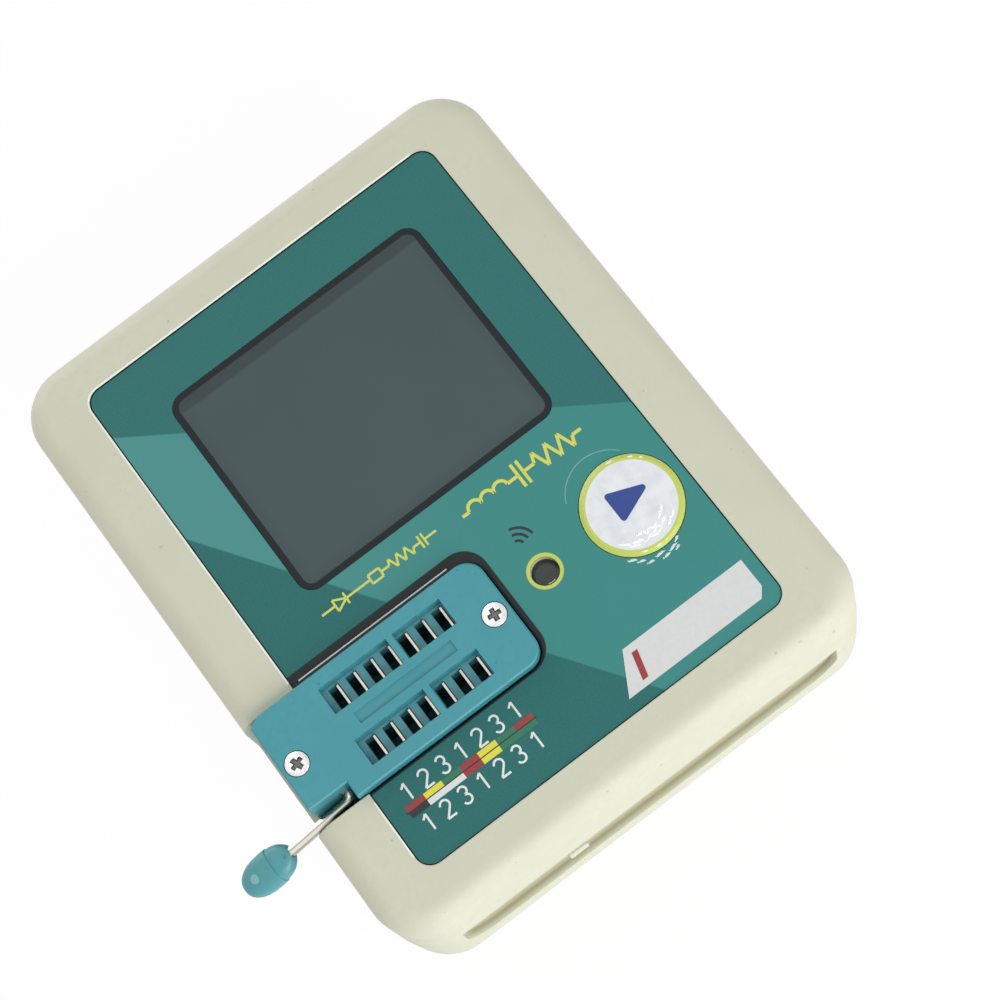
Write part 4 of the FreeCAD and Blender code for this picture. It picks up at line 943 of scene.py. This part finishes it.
# Wrinkles of the clear cover on the press area, drawn as white ridges whose colour is a painted highlight:
# radius, first and last angle, waves and their depth
COVER_FOLDS = (
    (5.0, 214, 246, 2, 0.12),
    (4.6, 232, 286, 3, 0.2),
    (4.95, 292, 316, 2, 0.14),
    (3.7, 240, 288, 3, 0.26),
    (3.5, 294, 322, 2, 0.2),
    (4.2, 262, 304, 2, 0.24),
)
FOLD_WIDTH = 0.4
FOLD_TIP = 0.15
GLARE_HEIGHT = 0.06

# Glints on the yellow ring: first and last angle
RING_SHINE = ((40, 45), (51, 59), (74, 86), (244, 252), (262, 270))
RING_MIDDLE = 5.9
RING_SINK = 0.05
SHINE_WIDTH = 0.4
SHINE_TIP = 0.2

# Glints of the cover on the film: radius, first angle and span
COVER_GLINTS = (
    (6.75, 228, 11),
    (6.95, 238, 9),
    (7.3, 247, 8),
    (6.85, 256, 12),
    (7.45, 262, 9),
    (7.1, 270, 12),
    (6.7, 281, 7),
    (7.5, 276, 6),
)
COVER_GLINT_DEPTH = 0.18
COVER_GLINT_WIDTH = 0.34
COVER_GLINT_TIP = 0.1

# Edge of the cover's bubble, from the middle of the press area
BUBBLE_OFFSET = (-1.2, 2.9)
BUBBLE_RADIUS = 5.3
BUBBLE_SPAN = (40, 157)
BUBBLE_WIDTH = 0.12
BUBBLE_HEIGHT = 0.02


def press_strokes(name, lines, width, base, finish, tip):
    """Glints that lie on the press area and move with it."""
    return strokes(name, lines, width, GLARE_HEIGHT, base, "button", "white_film", finish, tip)


def make_press_details():
    """Blue start sign, the wrinkled clear cover's glare and the faint edge of its bubble."""
    x, y = BUTTON_CENTRE
    graph = bmesh.new()
    left, front = x + START_OFFSET[0], y + START_OFFSET[1]
    outline = [(left + px, front + py) for px, py in rounded(START_SIGN, START_RADIUS)]
    slab(graph, outline, BUTTON_TOP - START_SINK, BUTTON_TOP + START_RISE)
    blue = ink("ink_blue", PRINT_BLUE)
    add_piece("start_sign", finished(graph, "start_sign"), "button", "white_film", blue)

    # Painted highlight: white ridges for the glare on the cover's wrinkles
    folds = [wavy((x, y), *fold) for fold in COVER_FOLDS]
    glare = gloss("cover_glare", (250, 252, 252))
    press_strokes("cover_folds", folds, FOLD_WIDTH, BUTTON_TOP, glare, FOLD_TIP)
    shine = [arc((x, y), RING_MIDDLE, start, end, steps=6) for start, end in RING_SHINE]
    glare = gloss("ring_glare", (240, 244, 214))
    press_strokes("ring_shine", shine, SHINE_WIDTH, BUTTON_TOP - RING_SINK, glare, SHINE_TIP)

    # Painted highlights: glints of the cover on the film
    glints = []
    for radius, begin, span in COVER_GLINTS:
        glints.append(wavy((x, y), radius, begin, begin + span, waves=1, depth=COVER_GLINT_DEPTH))
    glare = gloss("cover_glint_glare", (206, 224, 222))
    film_strokes("cover_glints", glints, COVER_GLINT_WIDTH, glare, GLARE_HEIGHT, COVER_GLINT_TIP)
    centre = (x + BUBBLE_OFFSET[0], y + BUBBLE_OFFSET[1])
    bubble = [arc(centre, BUBBLE_RADIUS, *BUBBLE_SPAN, steps=40)]
    film_strokes("cover_edge", bubble, BUBBLE_WIDTH, ink("cover_line", (110, 170, 164)), BUBBLE_HEIGHT)


def low_dome(graph, radius, rise, thick, place, material=0, rings=8, sides=48):
    """A closed disc with a low domed face, in millimetres, set at a place."""
    loops = []
    for i in range(1, rings + 1):
        reach = radius * i / rings
        loops.append((reach, rise * (1 - (reach / radius) ** 2)))
    loops.append((radius, -thick))
    made = []
    for reach, height in loops:
        loop = []
        for j in range(sides):
            turn = 2 * math.pi * j / sides
            spot = Vector((reach * math.cos(turn), reach * math.sin(turn), height)) * MM
            loop.append(graph.verts.new(place @ spot))
        made.append(loop)
    for face in join_rings(graph, made):
        face.material_index = material


# The receiver's window and the glint on it
EYE_TOP = 25.55
EYE_RADIUS = 1.76
EYE_RISE = 0.12
EYE_THICK = 0.6
EYE_SHARP = 40
EYE_SMOKE = (40, 53, 53)
GLINT_RADIUS = 1.3
GLINT_SPAN = (-115, -70)
GLINT_WIDTH = 0.16
GLINT_HEIGHT = 0.05
GLINT_LIFT = 0.06


def make_eye():
    """The dark window of the receiver, sunk in the small round hole."""
    graph = bmesh.new()
    place = Matrix.Translation([part * MM for part in (*EYE_CENTRE, EYE_TOP)])
    low_dome(graph, EYE_RADIUS, EYE_RISE, EYE_THICK, place)
    smoke = gloss("eye_smoke", EYE_SMOKE, roughness=0.16)
    add_piece("eye_window", finished(graph, "eye_window", EYE_SHARP), "case", "smoked_window", smoke)
    glint = [arc(EYE_CENTRE, GLINT_RADIUS, *GLINT_SPAN, steps=8)]
    pale = gloss("eye_shine", (214, 220, 206))
    base = EYE_TOP + GLINT_LIFT
    strokes("eye_glint", glint, GLINT_WIDTH, GLINT_HEIGHT, base, "case", "smoked_window", pale)


# Lip of the film's recess, a pale ridge with a painted highlight, along its left and upper sides and beside
# the socket
LIP_LEFT = -26.6
LIP_TOP = 36.86
LIP_RADIUS = 2.2
LIP_RIGHT_END = 24.2
LIP_SOCKET_END = -8.6
LIP_LOWER = (-26.4, -34.4)
LIP_WIDTH = 0.24
EDGE_HEIGHT = 0.04

# Painted highlight along the cut edge of the film beside the socket
CUT_EDGE_GLINT = ((-25.4, -8.97), (-3.4, -8.97))
CUT_WIDTH = 0.2


def make_edges():
    """The lip of the film's recess with a painted highlight, and a painted highlight along the cut edge of
    the film beside the socket.
    """
    corner = (LIP_LEFT + LIP_RADIUS, LIP_TOP - LIP_RADIUS)
    bend = arc(corner, LIP_RADIUS, 180, 90, steps=10)
    upper = [(LIP_LEFT, LIP_SOCKET_END)] + bend + [(LIP_RIGHT_END, LIP_TOP)]
    lower = [(LIP_LEFT, y) for y in LIP_LOWER]
    # Painted highlight on the recess lip, on its left and upper sides only
    lip = gloss("recess_lip_highlight", (244, 244, 232), roughness=0.3)
    strokes("recess_lip_highlight", [upper, lower], LIP_WIDTH, EDGE_HEIGHT, CASE_TOP, "case", "cream_case", lip)
    # Painted highlight: a pale line on the film's cut edge
    film_strokes("film_edge_glint", [CUT_EDGE_GLINT], CUT_WIDTH, gloss("film_cut", (222, 226, 222)), EDGE_HEIGHT)


# Sections of the knob: place along it, half its width and half its thickness
KNOB_SECTIONS = (
    (0.0, 0.95, 0.95),
    (0.35, 1.42, 1.12),
    (0.9, 1.86, 1.3),
    (1.7, 2.16, 1.45),
    (2.45, 2.26, 1.5),
    (2.5, 2.26, 1.5),
    (2.52, 2.38, 1.62),
    (3.4, 2.42, 1.65),
    (4.6, 2.38, 1.62),
    (5.6, 2.2, 1.52),
    (6.3, 1.93, 1.38),
    (6.85, 1.58, 1.16),
    (7.25, 1.15, 0.88),
    (7.48, 0.7, 0.54),
    (7.58, 0.25, 0.2),
)
KNOB_SIDES = 40
KNOB_SQUARE = 2.5
KNOB_SHARP = 38

# The lever's arm: slope in degrees, the point where it starts and its length to the knob
ARM_SLOPE = 16.5
ARM_PIVOT = (-28.6, -23.6, 23.8)
ARM_LENGTH = 10.2

# Gate mark on the knob: place from the knob's mouth, tilt in degrees and size
GATE_PLACE = (-5.2, 0.0, 1.56)
GATE_TILT = 5.0
GATE_RADIUS = 0.6
GATE_RISE = 0.04
GATE_THICK = 0.3


def knob_place():
    """From the knob's own frame, which starts at its mouth, to the part's."""
    slope = math.radians(ARM_SLOPE)
    mouth = Vector(ARM_PIVOT) + ARM_LENGTH * Vector((-math.cos(slope), 0, -math.sin(slope)))
    return Matrix.Translation(mouth * MM) @ Matrix.Rotation(-slope, 4, "Y")


def squared(part):
    """A share of a circle's radius, moved out towards a rounded square."""
    return math.copysign(abs(part) ** (2 / KNOB_SQUARE), part)


def make_knob():
    """Smooth pebble knob with its step line and gate mark, on the lever's rod."""
    graph = bmesh.new()
    rings = []
    for along, half_width, half_thick in KNOB_SECTIONS:
        ring = []
        for i in range(KNOB_SIDES):
            turn = 2 * math.pi * i / KNOB_SIDES
            y = half_width * squared(math.cos(turn))
            z = half_thick * squared(math.sin(turn))
            ring.append(graph.verts.new((-along * MM, y * MM, z * MM)))
        rings.append(ring)
    join_rings(graph, rings)
    gate = Matrix.Translation(Vector(GATE_PLACE) * MM) @ Matrix.Rotation(math.radians(-GATE_TILT), 4, "Y")
    low_dome(graph, GATE_RADIUS, GATE_RISE, GATE_THICK, gate, 1)
    mesh = finished(graph, "lever_knob", KNOB_SHARP)
    mesh.transform(knob_place())
    pale = moulded("gate_mark", (128, 180, 182), (112, 166, 170), 0.3, 0.02, 0.45, 0.05)
    knob = add_piece("lever_knob", mesh, "lever", "teal_socket", FINISHES["knob"], pale)
    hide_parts("zif_lever_knob")


# Screws of the socket: places, the turn of each in degrees, and the size of the head and its dome
SCREW_PLACES = ((-31.15, -17.35), (-2.15, -17.35))
SCREW_TURNS = (20, 85)
SCREW_RADIUS = 1.5
SCREW_HEAD = 0.85
SCREW_RIM = 0.12
SCREW_DOME = 0.22
DOME_POWER = 2.6
SCREW_RINGS = 22
SCREW_SIDES = 72
SCREW_SHARP = 30

# Cross recess: half its length and width, its depth and the width of its sloping walls
CROSS_HALF_LENGTH = 0.88
CROSS_HALF_WIDTH = 0.33
CROSS_DEPTH = 0.45
CROSS_WALL = 0.12

# Faces lower than this under the head's top, and not its side, are the recess, painted a darker grey as
# shade
RECESS_LINE = 0.16
RECESS_FACING = 0.1
RECESS_SHADE_GREY = (112, 112, 110)


def screw_height(x, y, radius, turn):
    """Height of the screw's head above its rim: a low dome with a cross recess."""
    dome = SCREW_DOME * (1 - (radius / SCREW_RADIUS) ** DOME_POWER)
    u = x * math.cos(turn) + y * math.sin(turn)
    v = y * math.cos(turn) - x * math.sin(turn)
    depth = 0.0
    for along, across in ((u, v), (v, u)):
        inside = min(CROSS_HALF_LENGTH - abs(along), CROSS_HALF_WIDTH - abs(across))
        depth = max(depth, min(1.0, max(0.0, inside / CROSS_WALL)))
    return dome - CROSS_DEPTH * depth


def add_screw(graph, centre, turn, top):
    """One screw's head: its centre in millimetres, its cross's turn and its top's height in metres."""
    rings = []
    for i in range(1, SCREW_RINGS + 1):
        radius = SCREW_RADIUS * i / SCREW_RINGS
        ring = []
        for j in range(SCREW_SIDES):
            angle = 2 * math.pi * j / SCREW_SIDES
            x, y = radius * math.cos(angle), radius * math.sin(angle)
            z = top / MM - SCREW_RIM + screw_height(x, y, radius, turn)
            ring.append(graph.verts.new(((centre[0] + x) * MM, (centre[1] + y) * MM, z * MM)))
        rings.append(ring)
    foot = top - SCREW_HEAD * MM
    rings.append([graph.verts.new((vert.co.x, vert.co.y, foot)) for vert in rings[-1]])
    join_rings(graph, rings)


def make_screws():
    """The socket's two screws, with domed heads and cross recesses painted darker as shade."""
    _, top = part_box("zif_screws")
    graph = bmesh.new()
    for centre, turn in zip(SCREW_PLACES, SCREW_TURNS):
        add_screw(graph, centre, math.radians(turn), top.z)
    mesh = finished(graph, "socket_screws", SCREW_SHARP)
    floor = top.z - RECESS_LINE * MM
    for face in mesh.polygons:
        face.material_index = int(face.center.z < floor and face.normal.z > RECESS_FACING)
    # Painted shade in the cross recesses
    recess = metal("screw_recess_shade", RECESS_SHADE_GREY, roughness=0.4)
    screws = add_piece("socket_screws", mesh, "case", "screw_steel", FINISHES["screw"], recess)
    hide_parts("zif_screws")


bpy.context.scene.view_settings.view_transform = "Standard"
dress_nodes()
make_camera()
make_light()
make_floor()
make_legend()
make_signs()
make_plate()
make_press_details()
make_eye()
make_edges()
make_knob()
make_screws()
